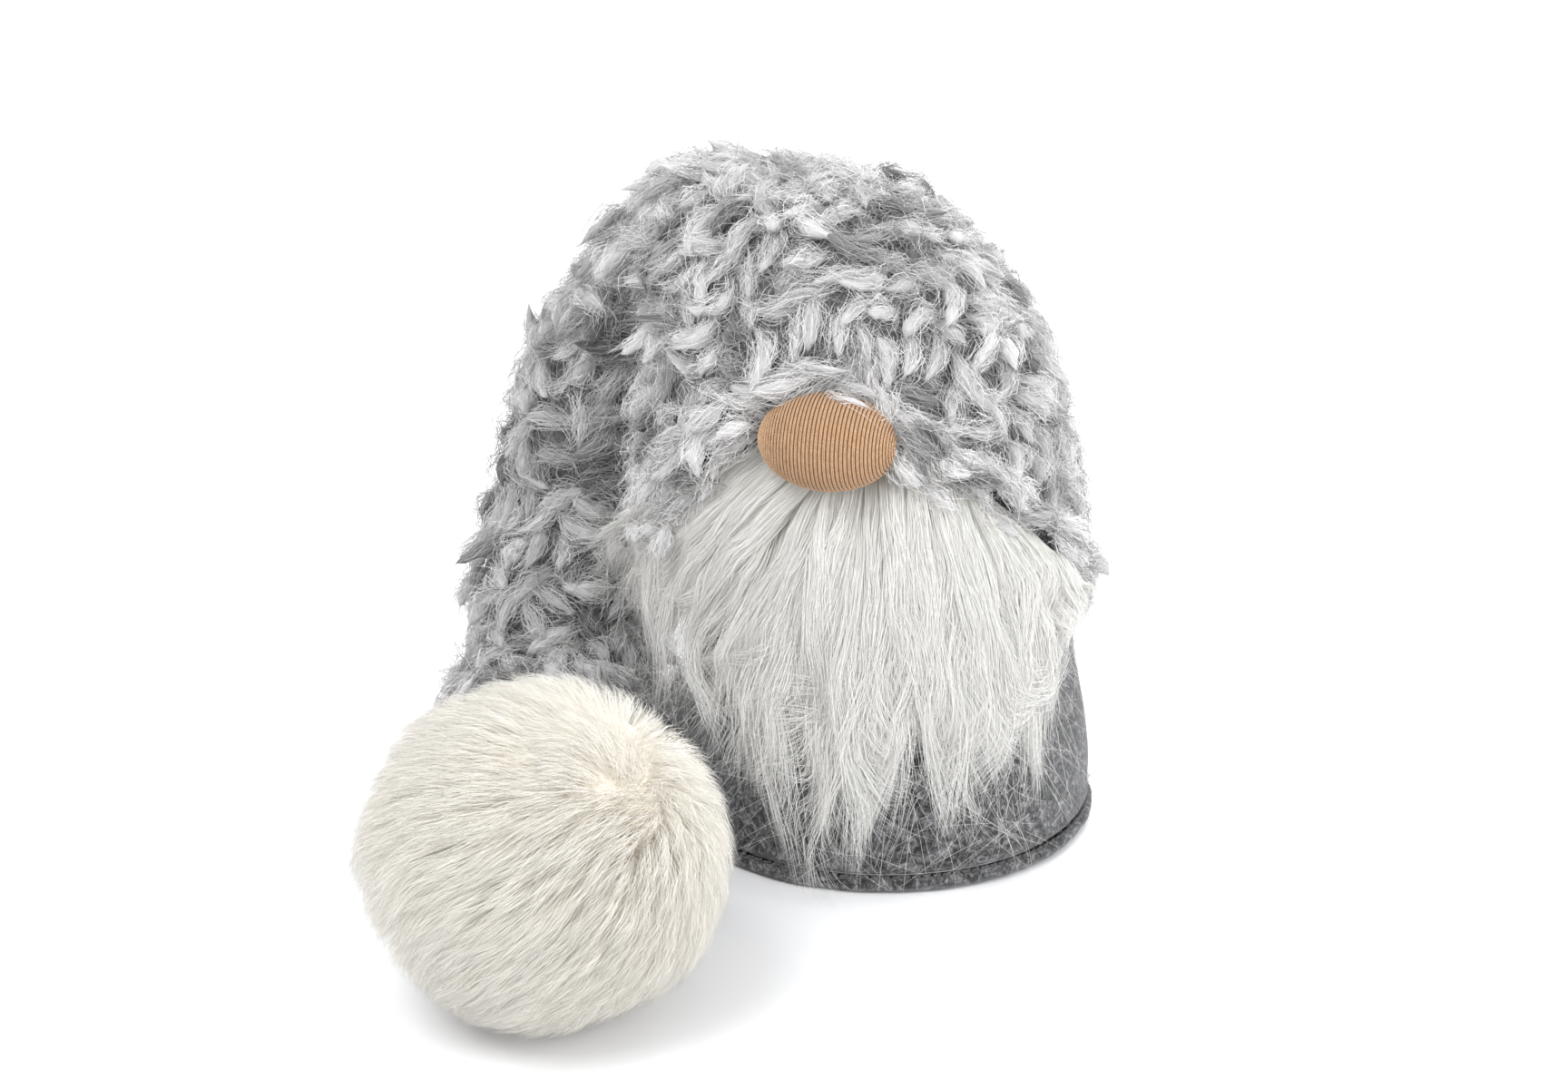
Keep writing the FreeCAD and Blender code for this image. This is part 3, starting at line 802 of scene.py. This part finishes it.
# ---------------------------------------------------------------- nose
def make_nose():
    """Jersey knit over a stuffed ball: rows of real stitches on a dark ground that is painted shade
    between them.
    """
    low, high = corners("nose_cover")
    half = np.array([(high[0] - low[0]) / 2, 14.5 * MM, (high[2] - low[2]) / 2])
    centre = np.array([(low[0] + high[0]) / 2, low[1] + half[1], (low[2] + high[2]) / 2])

    def on_nose(turn, tilt, lift=0.0):
        """A point of the nose: turn sideways from its middle, tilt up round its width."""
        way = np.stack(np.broadcast_arrays(
            np.sin(turn), -np.cos(turn) * np.cos(tilt), np.cos(turn) * np.sin(tilt)
        ), axis=-1)
        return centre + way * (half + lift)

    turn, tilt = np.meshgrid(
        np.linspace(-math.pi / 2, math.pi / 2, 72), np.linspace(-math.pi, math.pi, 96, endpoint=False),
        indexing="ij",
    )
    # A dark sheet under the stitches, painted shade that shows between them.
    points = on_nose(turn, tilt, -0.28 * MM)
    skin = mesh_piece("nose_painted_shade_ground", points.reshape(-1, 3), grid_faces(72, 96, True), [], knit_shadow)
    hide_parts("nose_cover")
    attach(skin, "gnome")

    # Wales stand side by side across the nose, and courses lie above each other.
    wale, course = 1.15 * MM, 0.90 * MM
    source = random_for("nose_knit")
    across = np.linspace(-1.42, 1.42, 400)
    step = np.hypot(half[0] * np.cos(across), half[1] * np.sin(across))
    length = np.concatenate([[0], np.cumsum((step[1:] + step[:-1]) / 2 * np.diff(across))])
    wales = np.interp(np.arange(wale / 2, length[-1], wale), length, across)
    paths, radii, tones = [], [], []
    rings = 5
    share = np.linspace(0, 1, rings)
    for turn_at in wales:
        girth = (half[1] + half[2]) / 2 * math.cos(turn_at)
        rows = max(3, int(math.radians(250) * girth / course))
        tilts = np.linspace(math.radians(-125), math.radians(125), rows)
        rise = (tilts[1] - tilts[0]) * 1.5
        width = wale / np.interp(turn_at, across, step)
        for side in (-1, 1):
            lean = turn_at + side * width * (0.07 + 0.21 * share)[None, :]
            climb = tilts[:, None] + rise * (share - 0.5)[None, :]
            bulge = 0.16 * MM * np.sin(share * math.pi)[None, :] - 0.06 * MM
            paths.append(on_nose(lean, climb, bulge[..., None]))
            thick = 0.20 * MM * np.array([0.6, 1.0, 1.05, 0.9, 0.4])
            radii.append(np.broadcast_to(thick, climb.shape))
            tones.append(source.uniform(0, 1, rows))
    paths, radii = np.concatenate(paths), np.concatenate(radii)
    for piece in strand_pieces("nose_knit", paths, radii, knit, sides=4, tone=np.concatenate(tones)):
        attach(piece, "gnome")


make_nose()


# ---------------------------------------------------------------- beard
# Degrees round the body from the face, height and lift off the felt in mm, left to right.
BEARD_ROOTS = np.array([
    (-49, 113, 5), (-42, 119, 5), (-36, 124, 5), (-30, 126, 5), (-24, 126, 4), (-18, 125, 3),
    (-12, 123, 2), (-7, 122, 1), (-1, 122, 1), (5, 122, 1), (10, 123, 2), (16, 125, 3),
    (24, 126, 4), (34, 123, 5), (46, 115, 5), (59, 104, 5), (72, 91, 5),
])
BEARD_TIPS = np.array([
    (-76, 84, 30), (-80, 77, 26), (-80, 68, 19), (-77, 60, 13), (-69, 52, 10), (-58, 47, 8),
    (-45, 42, 8), (-31, 39, 7), (-17, 33, 6), (-3, 4, 5), (9, 9, 5), (22, 22, 6),
    (34, 20, 6), (46, 13, 6), (54, 36, 7), (63, 62, 8), (76, 74, 9),
])
BEARD_SHARES = np.linspace(0, 1, len(BEARD_ROOTS))


def from_face(radius, angle, height):
    """A point at a radius and a height, turned an angle round from the face."""
    return np.stack([radius * np.sin(angle), -radius * np.cos(angle), height], axis=-1)


def beard_place(across, down, lift):
    """A point of the beard: share across it, share down its hairs, further lift off the felt."""
    root, tip = (
        [np.interp(across, BEARD_SHARES, line[:, axis]) for axis in range(3)]
        for line in (BEARD_ROOTS, BEARD_TIPS)
    )
    bow = (
        0.38 * root[0] + 0.62 * tip[0], 0.53 * root[1] + 0.47 * tip[1] + 2.0,
        0.6 * root[2] + 0.4 * tip[2],
    )
    angle, height, off = (
        (1 - down) ** 2 * root[axis] + 2 * down * (1 - down) * bow[axis] + down ** 2 * tip[axis]
        for axis in range(3)
    )
    height = height * MM
    radius = felt_radius(height) + off * MM + lift
    return from_face(radius, np.radians(angle), height)


def make_beard_cloth():
    """The woven cloth under the fur, hung from its top edge."""
    columns, rows = 60, 40
    across, down = np.meshgrid(
        np.linspace(0.07, 0.95, columns), np.linspace(0.02, 0.66, rows), indexing="xy"
    )
    spot = beard_place(across, down, 0.0)
    angle = np.arctan2(spot[..., 0], -spot[..., 1])
    layers = []
    for lift in (1.7 * MM, 0.6 * MM):
        radius = felt_radius(spot[..., 2]) + lift
        layers.append(from_face(radius, angle, spot[..., 2]).reshape(-1, 3))
    points = np.concatenate(layers)
    front = grid_faces(rows, columns, False)
    size = rows * columns
    edge = np.concatenate([
        np.arange(columns), columns - 1 + columns * np.arange(1, rows),
        size - 2 - np.arange(columns - 1), columns * np.arange(rows - 2, 0, -1),
    ])
    after = np.roll(edge, -1)
    rim = np.stack([edge, edge + size, after + size, after], axis=-1)
    faces = np.concatenate([front[:, ::-1], front + size, rim[:, ::-1]])
    piece = mesh_piece("beard_cloth", points, faces, [], fur_cloth)
    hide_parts("beard_backing")
    return piece


def make_beard_hair():
    """Long hair in soft locks that fan out from under the nose and the hat."""
    source = random_for("beard_hair")
    count, locks, rings = 24000, 230, 8
    lock_across = source.uniform(0, 1, locks)
    lock_down = source.uniform(0, 0.6, locks)
    lock_sway = source.normal(size=(locks, 2))
    lock_lift = source.uniform(0, 1, locks)
    lock_drift = source.normal(size=locks) * 0.030
    across = source.uniform(0, 1, count)
    down = source.uniform(0, 1, count) ** 1.2 * 0.60
    down = np.where(source.uniform(0, 1, count) < 0.32, down * 0.15, down)
    near = (
        (across[:, None] - lock_across[None]) ** 2 + ((down[:, None] - lock_down[None]) * 0.30) ** 2
    )
    lock = np.argmin(near, axis=1)
    share = np.linspace(0, 1, rings)[None, :]
    reach = source.uniform(0.40, 0.66, count)
    farthest = source.uniform(0.74, 1.08, locks)[lock] - source.exponential(0.03, count)
    end = np.minimum(down + reach, farthest)
    end = np.maximum(end, down + 0.22)
    along = down[:, None] + (end - down)[:, None] * share
    gather = source.uniform(0.62, 0.98, count)
    gather = np.where(source.uniform(0, 1, count) < 0.35, gather * 0.25, gather)
    gather = (gather * np.where(down < 0.12, 0.45, 1.0))[:, None] * share ** 1.7
    sideways = across[:, None] + (lock_across[lock] - across)[:, None] * gather
    phase = lock_sway[lock, 1][:, None]
    sway = lock_sway[lock, 0][:, None] * 0.042 * (np.sin(share * 2.6 + phase) - np.sin(phase))
    sway = sway + lock_drift[lock][:, None] * share ** 1.6
    stray = source.normal(size=(count, 1)) * 0.013 * share ** 1.6
    sideways = np.clip(sideways + sway + stray, -0.04, 1.04)
    layer = source.uniform(0, 1, count)
    depth = (0.42 * lock_lift[lock] + 0.58 * layer)[:, None]
    arch = np.sin(np.clip(share * 1.1 + 0.08, 0, 1) * math.pi * 0.74)
    height = 0.8 + (1.5 + 8.5 * depth) * arch
    paths = beard_place(sideways, along, height * MM)
    frizz = wave_vectors(paths, 13 * MM, 31) * 1.4 * MM * share[..., None]
    stray = source.normal(size=(count, 1, 3)) * 0.5 * MM * share[..., None] ** 1.5
    paths = paths + frizz + stray
    paths[..., 2] = np.maximum(paths[..., 2], 0.4 * MM)
    thickness = source.uniform(0.065, 0.11, count)[:, None] * MM
    radii = thickness * (1 - 0.75 * share ** 1.6)
    # Painted shade: locks that lie lower, under the others, get a darker tone; the other half of the tone
    # is random for each hair.
    tone = np.clip(0.5 * lock_lift[lock] + 0.5 * source.uniform(0, 1, count), 0, 1)
    return strand_pieces("beard_hair", paths, radii, beard_hair, tone=tone)


def make_flyaways():
    """Single fine hairs that cross over the felt and stand off the beard's edges."""
    source = random_for("beard_flyaways")
    count, rings = 1300, 8
    across = source.uniform(-0.02, 1.02, count)
    start = source.uniform(0.35, 1.0, count)
    share = np.linspace(0, 1, rings)[None, :]
    root = beard_place(across, start, source.uniform(0, 7, count) * MM)
    onward = beard_place(across, start + 0.05, source.uniform(0, 7, count) * MM) - root
    out = unit(root * (1, 1, 0))
    side = np.cross(out, unit(onward))
    angle = source.normal(size=count) * 0.8
    way = unit(onward) * np.cos(angle)[:, None] + side * np.sin(angle)[:, None]
    way = unit(way + out * source.uniform(-0.15, 0.30, count)[:, None])
    length = source.uniform(8, 30, count) * MM
    bend = unit(source.normal(size=(count, 3)))
    curl = share ** 2 * (length * source.uniform(0, 0.6, count))[:, None]
    paths = (
        root[:, None] + way[:, None] * (share * length[:, None])[..., None]
        + bend[:, None] * curl[..., None]
    )
    distance = np.hypot(paths[..., 0], paths[..., 1])
    least = felt_radius(paths[..., 2]) + 0.6 * MM
    push = np.maximum(distance, least) / np.maximum(distance, 1e-6)
    paths[..., :2] *= push[..., None]
    paths[..., 2] = np.maximum(paths[..., 2], 0.4 * MM)
    kept = (paths[..., 0].max(axis=1) < 76 * MM) & (paths[..., 2].min(axis=1) > 1 * MM)
    paths = paths[kept]
    count = len(paths)
    radii = source.uniform(0.03, 0.055, count)[:, None] * MM * (1 - 0.5 * share)
    return strand_pieces(
        "beard_flyaways", paths, radii, beard_hair, tone=source.uniform(0.5, 1, count)
    )


beard_hairs = make_beard_hair()
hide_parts("beard_pile")
for piece in [make_beard_cloth()] + beard_hairs + make_flyaways():
    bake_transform(piece)


# ---------------------------------------------------------------- hat
crest = np.array(joints["tail_swing"]["pos_m"])
knee = np.array(joints["tail_turn"]["pos_m"])
tip = np.array(joints["pompom_tip"]["pos_m"])
shoulder = np.array([-84, 23, 121]) * MM
flank = np.array([-98, 16, 76]) * MM
tail_route = np.array([
    crest, shoulder, flank, knee * (1, 1, 0.55), np.array([-95, -46, 26.5]) * MM,
    np.array([-81, -84, 27.5]) * MM, tip,
])
TAIL_SPLIT = 86 * MM
SWING_BEND = dict(start=tuple(crest), end=tuple(shoulder))
TURN_BEND = dict(start=(*knee[:2], 84 * MM), end=(*knee[:2], 57 * MM))


def tail_way(places):
    """Direction along the tail, from the crest to the pompom, at each place."""
    starts, ends = tail_route[:-1], tail_route[1:]
    spans = ends - starts
    offset = places[:, None] - starts[None]
    share = np.clip((offset * spans).sum(-1) / (spans ** 2).sum(-1), 0, 1)
    gap = np.linalg.norm(offset - share[..., None] * spans, axis=-1)
    weight = 1 / (gap + 2 * MM) ** 4
    return unit((unit(spans)[None] * weight[..., None]).sum(1))


def crown_way(places):
    """Down the crown and a little away from its middle line."""
    way = np.zeros_like(places)
    way[:, 2] = -1.0
    way[:, 0] = places[:, 0] / (55 * MM)
    way[:, 1] = -0.15
    return unit(way)


FIBRES_PER_TUFT = 84


def make_tufts(name, places, normals, ways, source, spread=0.8, size=1.0, painted_shade_scale=1.0):
    """Thick-and-thin roving tufts: a soft lumpy core each, in a cloud of fine crimped fibres.

    The last argument scales down each tuft's paleness, as painted shade where the tuft lies in shade."""
    count = len(places)
    turn = source.normal(size=count) * spread
    ways = unit(ways - normals * (ways * normals).sum(-1, keepdims=True))
    side = np.cross(normals, ways)
    way = ways * np.cos(turn)[:, None] + side * np.sin(turn)[:, None]
    side = np.cross(normals, way)
    length = source.uniform(9, 19, count) * size * MM
    width = source.uniform(2.2, 5.2, count) * size * MM
    lift = source.uniform(0.8, 4.6, count) * MM
    bend = source.normal(size=count) * 0.60
    flick = np.maximum(0, source.normal(size=count)) * 0.40
    pale = source.uniform(0, 1, count) < 0.80
    # Painted shade: the tone is scaled down by the last argument.
    tone = np.where(pale, source.uniform(0.66, 1.0, count), source.uniform(0.1, 0.6, count)) * painted_shade_scale

    def tuft_points(owner, share, across, up):
        """Points of tufts at a share of their length, moved across and up from the middle."""
        reach = (share - 0.4) * length[owner][:, None]
        rise = 0.4 * MM + lift[owner][:, None] * np.sin(np.clip(share, 0, 1.3) * math.pi * 0.62)
        rise = rise + (flick * length)[owner][:, None] * np.maximum(0, share - 0.4) ** 1.5
        curve = bend[owner][:, None] * length[owner][:, None] * (share - 0.3) ** 2
        return (
            places[owner][:, None] + way[owner][:, None] * reach[..., None]
            + normals[owner][:, None] * (rise + up)[..., None]
            + side[owner][:, None] * (curve + across)[..., None]
        )

    rings = 9
    every = np.arange(count)
    share = np.broadcast_to(np.linspace(0, 1, rings), (count, rings))
    fullness = np.sin(np.clip(share * 0.93 + 0.05, 0, 1) * math.pi) ** 0.75
    lumps = 1 + 0.20 * source.normal(size=(count, rings))
    cores = strand_pieces(
        name + "_cores", tuft_points(every, share, 0.0, 0.0),
        width[:, None] * fullness * lumps * 0.50, roving, sides=7, tone=tone * 0.9,
    )

    rings = 4
    owner = np.repeat(every, FIBRES_PER_TUFT)
    total = len(owner)
    step = np.linspace(0, 1, rings)
    begin = source.uniform(-0.22, 0.50, total)
    end = begin + source.uniform(0.40, 0.78, total)
    share = begin[:, None] + (end - begin)[:, None] * step
    angle = source.uniform(-0.35, math.pi + 0.35, (total, 1)) + source.normal(size=(total, 1)) * share
    full = np.sin(np.clip(share * 0.93 + 0.05, 0.06, 0.92) * math.pi) ** 0.6
    fray = (np.maximum(0, share - 0.72) + np.maximum(0, 0.12 - share)) * source.normal(size=(total, 1))
    distance = width[owner][:, None] * full * source.uniform(0.32, 1.22, (total, 1)) + fray * 9 * MM
    crimp = source.normal(size=(total, 2)) * 1.0 * MM
    wave = np.sin(step * source.uniform(3, 8, (total, 1)) + source.uniform(0, 6, (total, 1)))
    paths = tuft_points(
        owner, share, distance * np.cos(angle) + crimp[:, :1] * wave,
        distance * np.sin(angle) + crimp[:, 1:] * wave,
    )
    radii = source.uniform(0.06, 0.12, (total, 1)) * MM * (1 - 0.6 * step ** 2)
    dark = source.uniform(0, 1, total) < 0.10
    shades = np.where(dark, source.uniform(0, 0.4, total), tone[owner] + source.normal(size=total) * 0.1)
    strands = strand_pieces(name + "_fibres", paths, radii, wisps, tone=np.clip(shades, 0, 1))
    return cores + strands


def make_fuzz(name, places, normals, source, count, length, lift, palest):
    """Fine crimped fibres that lie in all directions at a height over the cloth."""
    rings = 5
    chosen = source.integers(0, len(places), count)
    normal = normals[chosen]
    way = unit(source.normal(size=(count, 3)))
    way = unit(way - normal * (way * normal).sum(-1, keepdims=True) * 0.93)
    side = np.cross(normal, way)
    root = places[chosen] + way * source.uniform(-4, 4, (count, 1)) * MM
    span = source.uniform(0.5, 1.0, count)[:, None] * length
    share = np.linspace(0, 1, rings)[None, :]
    wave = np.sin(share * source.uniform(3, 9, (count, 1)) + source.uniform(0, 6, (count, 1)))
    paths = (
        root[:, None] + way[:, None] * (share * span)[..., None]
        + side[:, None] * (wave * span * 0.12)[..., None]
        + normal[:, None] * (
            lift * source.uniform(0, 1, (count, 1)) + span * 0.24 * np.sin(share * 2.4)
        )[..., None]
    )
    radii = source.uniform(0.045, 0.09, (count, 1)) * MM * (1 - 0.5 * share)
    tone = palest * source.uniform(0, 1, count) ** (1.2 / palest)
    return strand_pieces(name, paths, radii, wisps, tone=tone)


HEM_LINE = np.array([
    (-62, 66), (-60, 88), (-53, 108), (-40, 126), (-24, 136), (-7, 143), (6, 139), (19, 128),
    (32, 119), (44, 109), (53, 94), (60, 76),
]) * MM


def hem_line(count):
    """Points along the hat's front edge over the face, on the outside of the hem's CAD node."""
    edge = node_points("hat_hem")
    edge = edge[edge[:, 1] < 0.005]
    steps = np.append(0, np.cumsum(np.linalg.norm(np.diff(HEM_LINE, axis=0), axis=1)))
    at = np.linspace(0, steps[-1], count)
    line = np.stack([np.interp(at, steps, HEM_LINE[:, 0]), np.interp(at, steps, HEM_LINE[:, 1])], -1)
    found = []
    for x, z in line:
        near = (edge[:, 0] - x) ** 2 + (edge[:, 2] - z) ** 2 < (7 * MM) ** 2
        outer = edge[near]
        found.append(outer[np.argmin(outer[:, 1])] if len(outer) else (x, np.nan, z))
    found = np.array(found)
    known = ~np.isnan(found[:, 1])
    found[:, 1] = np.interp(at, at[known], found[known, 1])
    found[:, 0], found[:, 2] = line[:, 0], line[:, 1]
    for _ in range(4):
        found[1:-1] = (found[:-2] + 2 * found[1:-1] + found[2:]) / 4
    return found


def make_hem_tufts(source):
    """The rolled edge of the hat over the face: tufts that run along it, down to both sides."""
    line = hem_line(60)
    tangent = unit(np.gradient(line, axis=0))
    out = unit(line * (1, 1, 0) - np.array([-0.006, 0.004, 0]))
    up = np.cross(tangent, out) * -1
    up = up * np.sign(up[:, 2:] + 1e-9)
    apex = np.argmax(line[:, 2])
    tangent[:apex] *= -1
    places, normals, ways = [], [], []
    for row, (rise, proud) in enumerate(((-4.5, -2.0), (1.0, 0.5), (6.5, 0.0))):
        chosen = np.arange(row % 2, len(line), 2)
        jitter = source.normal(size=(len(chosen), 3)) * 1.2 * MM
        places.append(line[chosen] + up[chosen] * rise * MM + out[chosen] * proud * MM + jitter)
        normals.append(unit(out[chosen] - up[chosen] * 0.25 * (1 - row)))
        ways.append(tangent[chosen])
    return make_tufts(
        "hem_tufts", np.concatenate(places), np.concatenate(normals), np.concatenate(ways),
        source, spread=0.45, size=0.95,
    )


def finish_cloth(mesh):
    """Give a cloth mesh of the hat its material and smooth shading."""
    cover(mesh, hat_cloth)
    mesh.polygons.foreach_set("use_smooth", np.ones(len(mesh.polygons), bool))


def above_floor(pieces):
    """Keep every point of some pieces a little above the floor."""
    clearance = 0.3 * MM
    for piece in pieces:
        points, _ = mesh_arrays(piece.data)
        if points[:, 2].min() < clearance:
            points[:, 2] = np.maximum(points[:, 2], clearance)
            place_points(piece.data, points)
            piece.data.update()


def distance_to(places, others):
    """How far each place is from the nearest of some other places."""
    tree = kdtree.KDTree(len(others))
    for index, other in enumerate(others):
        tree.insert(other, index)
    tree.balance()
    return np.array([tree.find(place)[2] for place in places])


def make_crown():
    """The hat's cloth over the head, its tufts and its loose fibres. Returns its outer faces' centres."""
    source = random_for("hat_crown")
    mesh = soft_form("hat_crown_cloth", ["hat_crown", "hat_hem"], smoothing=6, inset=2.5 * MM)
    finish_cloth(mesh)
    piece = new_object("hat_crown_cloth", mesh)
    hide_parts("hat_crown", "hat_hem")
    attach(piece, "gnome")
    centres, normals, areas = mesh_faces(mesh)
    middle = np.array([-8 * MM, 4 * MM, 100 * MM])
    outside = ((centres - middle) * normals).sum(-1) > 0.25 * np.linalg.norm(centres - middle, axis=-1)
    centres, normals, areas = centres[outside], normals[outside], areas[outside]
    places, ups = scatter(centres, normals, areas, 6.3 * MM, source)
    tufts = make_tufts("crown_tufts", places, ups, crown_way(places), source)
    tufts += make_hem_tufts(source)
    tufts += make_fuzz("crown_underfuzz", places, ups, source, 6500, 12 * MM, lift=1 * MM, palest=0.75)
    tufts += make_fuzz("crown_halo", places, ups, source, 11000, 10 * MM, lift=6 * MM, palest=1.0)
    for tuft in tufts:
        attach(tuft, "gnome")
    return centres


def part_of(mesh, name, keep):
    """A copy of a mesh with only the faces whose centres pass a test."""
    copy = bmesh.new()
    copy.from_mesh(mesh)
    lost = [face for face in copy.faces if not keep(face.calc_center_median())]
    bmesh.ops.delete(copy, geom=lost, context="FACES")
    made = bpy.data.meshes.new(name)
    copy.to_mesh(made)
    copy.free()
    return made


def inner_tufts(source):
    """Places between the tail and the body, where the tail's tufts spread and fill the gap."""
    first, last = np.array([-70, 26, 8]) * MM, np.array([-67, -44, 26]) * MM
    share = np.linspace(0, 1, 12)[:, None]
    line = first + (last - first) * share
    rows = [line + np.array([0, 0, rise]) * MM for rise in (0, 11)]
    places = np.concatenate(rows)
    return places + source.normal(size=places.shape) * 1.5 * MM


def saddle_tufts(source):
    """Places and normals over the fold where the tail leaves the crown, to keep its top full."""
    share = np.linspace(0, 1, 7)
    line = np.stack([
        np.interp(share, (0, 0.5, 1), (-65, -82, -94)), np.zeros(7),
        np.interp(share, (0, 0.5, 1), (182, 171, 151)),
    ], axis=-1)
    middle, half_width = 14, 20
    places, ups = [], []
    for depth in (0, 8):
        for y in (-6, 4, 14, 24, 34):
            side = (y - middle) / half_width
            inward = depth + 7 * side ** 2
            places.append(line + np.array([0.7 * inward, y, -0.7 * inward]))
            ups.append(np.broadcast_to(unit(np.array([-0.65, 0.5 * side, 0.7])), line.shape))
    places = np.concatenate(places) + source.normal(size=(70, 3)) * 1.5
    return places * MM, np.concatenate(ups)


def make_tail(crown):
    """The long tail of the hat, folded down at the side and forward along the floor."""
    source = random_for("hat_tail")
    whole = soft_form("tail_whole", ["hat_tail_upper", "hat_tail_lower"], smoothing=8, inset=2 * MM)
    overlap = 3 * MM
    upper = part_of(whole, "tail_cloth_upper", lambda place: place.z > TAIL_SPLIT - overlap)
    lower = part_of(whole, "tail_cloth_lower", lambda place: place.z < TAIL_SPLIT + overlap)
    centres, normals, areas = mesh_faces(whole)
    clear = np.linalg.norm(centres - crest, axis=-1) > 30 * MM
    centres, normals, areas = centres[clear], normals[clear], areas[clear]
    places, ups = scatter(centres, normals, areas, 7.0 * MM, source)
    # Tufts are left off within 6 mm of the crown, so the dark cloth shows there as painted shade.
    gap = distance_to(places, crown)
    places, ups, gap = places[gap > 6 * MM], ups[gap > 6 * MM], gap[gap > 6 * MM]
    inner = inner_tufts(source)
    saddle, saddle_ups = saddle_tufts(source)
    inner_ups = np.broadcast_to(unit(np.array([0.5, -0.5, 0.7])), inner.shape)
    places = np.concatenate([places, inner, saddle])
    ups = np.concatenate([ups, inner_ups, saddle_ups])
    gap = np.concatenate([gap, np.full(len(inner), 8 * MM), np.full(len(saddle), 18 * MM)])
    # Painted shade: every tail tuft is darkened, most of all near the crown and between the tail and the
    # body.
    painted_shade_scale = 0.36 + 0.46 * smooth_step((gap - 6 * MM) / (14 * MM))
    high = places[:, 2] > TAIL_SPLIT
    for part, mesh, chosen, bodies, bend, node in (
        ("upper", upper, high, ("gnome", "tail_upper"), SWING_BEND, "hat_tail_upper"),
        ("lower", lower, ~high, ("tail_upper", "tail_lower"), TURN_BEND, "hat_tail_lower"),
    ):
        finish_cloth(mesh)
        cloth = new_object("tail_cloth_" + part, mesh)
        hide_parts(node)
        ways = tail_way(places[chosen])
        tufts = make_tufts(
            "tail_%s_tufts" % part, places[chosen], ups[chosen], ways, source, size=1.1,
            painted_shade_scale=painted_shade_scale[chosen],
        )
        for kind, number, lift, palest in (("underfuzz", 2500, 1, 0.7), ("halo", 3200, 6, 0.9)):
            tufts += make_fuzz(
                "tail_%s_%s" % (part, kind), places[chosen], ups[chosen], source, number,
                11 * MM, lift * MM, palest,
            )
        above_floor(tufts)
        for piece in [cloth] + tufts:
            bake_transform(piece)


make_tail(make_crown())


# ---------------------------------------------------------------- pompom
def make_pompom():
    """A ball of short dense fur, brushed down and away from a parting near its top."""
    source = random_for("pompom")
    low, high = corners("pompom_backing")
    centre = (low + high) / 2
    pile_low, pile_high = corners("pompom_pile")
    radius = (pile_high[0] - pile_low[0]) / 2
    parting = unit(np.array([0.50, 0.15, 0.86]))

    count, locks, rings = 48000, 2200, 4
    number = np.arange(count) + 0.5
    polar = np.arccos(1 - 2 * number / count)
    spiral = math.pi * (1 + 5 ** 0.5) * number
    out = np.stack([
        np.cos(spiral) * np.sin(polar), np.sin(spiral) * np.sin(polar), np.cos(polar)
    ], axis=-1)
    out = unit(out + source.normal(size=out.shape) * 0.02)
    lock_out = unit(source.normal(size=(locks, 3)))

    def brushed(way):
        """Which way the fur lies, across the ball."""
        swirl = wave_vectors(way, 1.5, 51) * 0.26 + wave_vectors(way, 0.6, 61) * 0.12
        lie = -parting + 0.45 * np.cross(way, parting) + swirl
        lie = lie - way * (lie * way).sum(-1, keepdims=True)
        return lie / np.maximum(np.linalg.norm(lie, axis=-1, keepdims=True), 0.6)

    lock = np.argmax(out @ lock_out.T, axis=1)
    lock_lie = brushed(lock_out) + source.normal(size=(locks, 3)) * 0.14
    lie = 0.5 * brushed(out) + 0.5 * lock_lie[lock]
    lie = lie + source.normal(size=(count, 3)) * 0.10
    share = np.linspace(0, 1, rings)[None, :]
    root = 0.72 * radius
    fullness = 0.90 + 0.05 * source.uniform(-1, 1, locks)[lock] + 0.05 * waves(out, 1.1, 91)
    length = fullness * source.uniform(0.80, 1.12, count)
    rise = (radius - root) * length[:, None] * np.sin(share * 1.45) ** 0.9
    slide = 0.40 * radius * length[:, None] * share ** 1.5
    gather = (lock_out[lock] - out) * radius * 0.42
    paths = (
        out[:, None] * (root + rise)[..., None] + lie[:, None] * slide[..., None]
        + gather[:, None] * (share ** 1.6)[..., None]
    )
    distance = np.linalg.norm(paths, axis=-1, keepdims=True)
    limit = (root + rise)[..., None] * 1.02
    paths = paths / distance * np.minimum(distance, limit)
    paths = paths + wave_vectors(paths, 9 * MM, 71) * 0.45 * MM * share[..., None]
    paths = centre + paths * (1.05, 1.05, 0.97) - (0, 0, 0.01 * radius)
    floor = 0.35 * MM + source.uniform(0, 0.8, (count, 1)) * MM
    paths[..., 2] = np.maximum(paths[..., 2], floor)
    radii = source.uniform(0.07, 0.125, (count, 1)) * MM * (1 - 0.72 * share ** 1.3)
    tone = np.clip(0.55 * source.uniform(0, 1, locks)[lock] + 0.45 * source.uniform(0, 1, count), 0, 1)
    pieces = strand_pieces("pompom_fur", paths, radii, pompom_hair, tone=tone)
    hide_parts("pompom_pile")

    # A ball inside the fur that hides its gaps; its darker beige is painted shade deep in the fur.
    rows, columns = 60, 90
    polar = np.linspace(0, math.pi, rows)
    turn = np.arange(columns) * (2 * math.pi / columns)
    way = np.stack([
        np.sin(polar)[:, None] * np.cos(turn), np.sin(polar)[:, None] * np.sin(turn),
        np.broadcast_to(np.cos(polar)[:, None], (rows, columns)),
    ], axis=-1)
    depth = radius * (0.80 + 0.02 * waves(way, 0.5, 81))
    under = centre + way * depth[..., None]
    under[..., 2] = np.maximum(under[..., 2], 1.2 * MM)
    pieces.append(mesh_piece(
        "pompom_shaded_underfur", under.reshape(-1, 3), grid_faces(rows, columns, True)[:, ::-1], [],
        pompom_under,
    ))
    for piece in pieces:
        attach(piece, "pompom")


make_pompom()
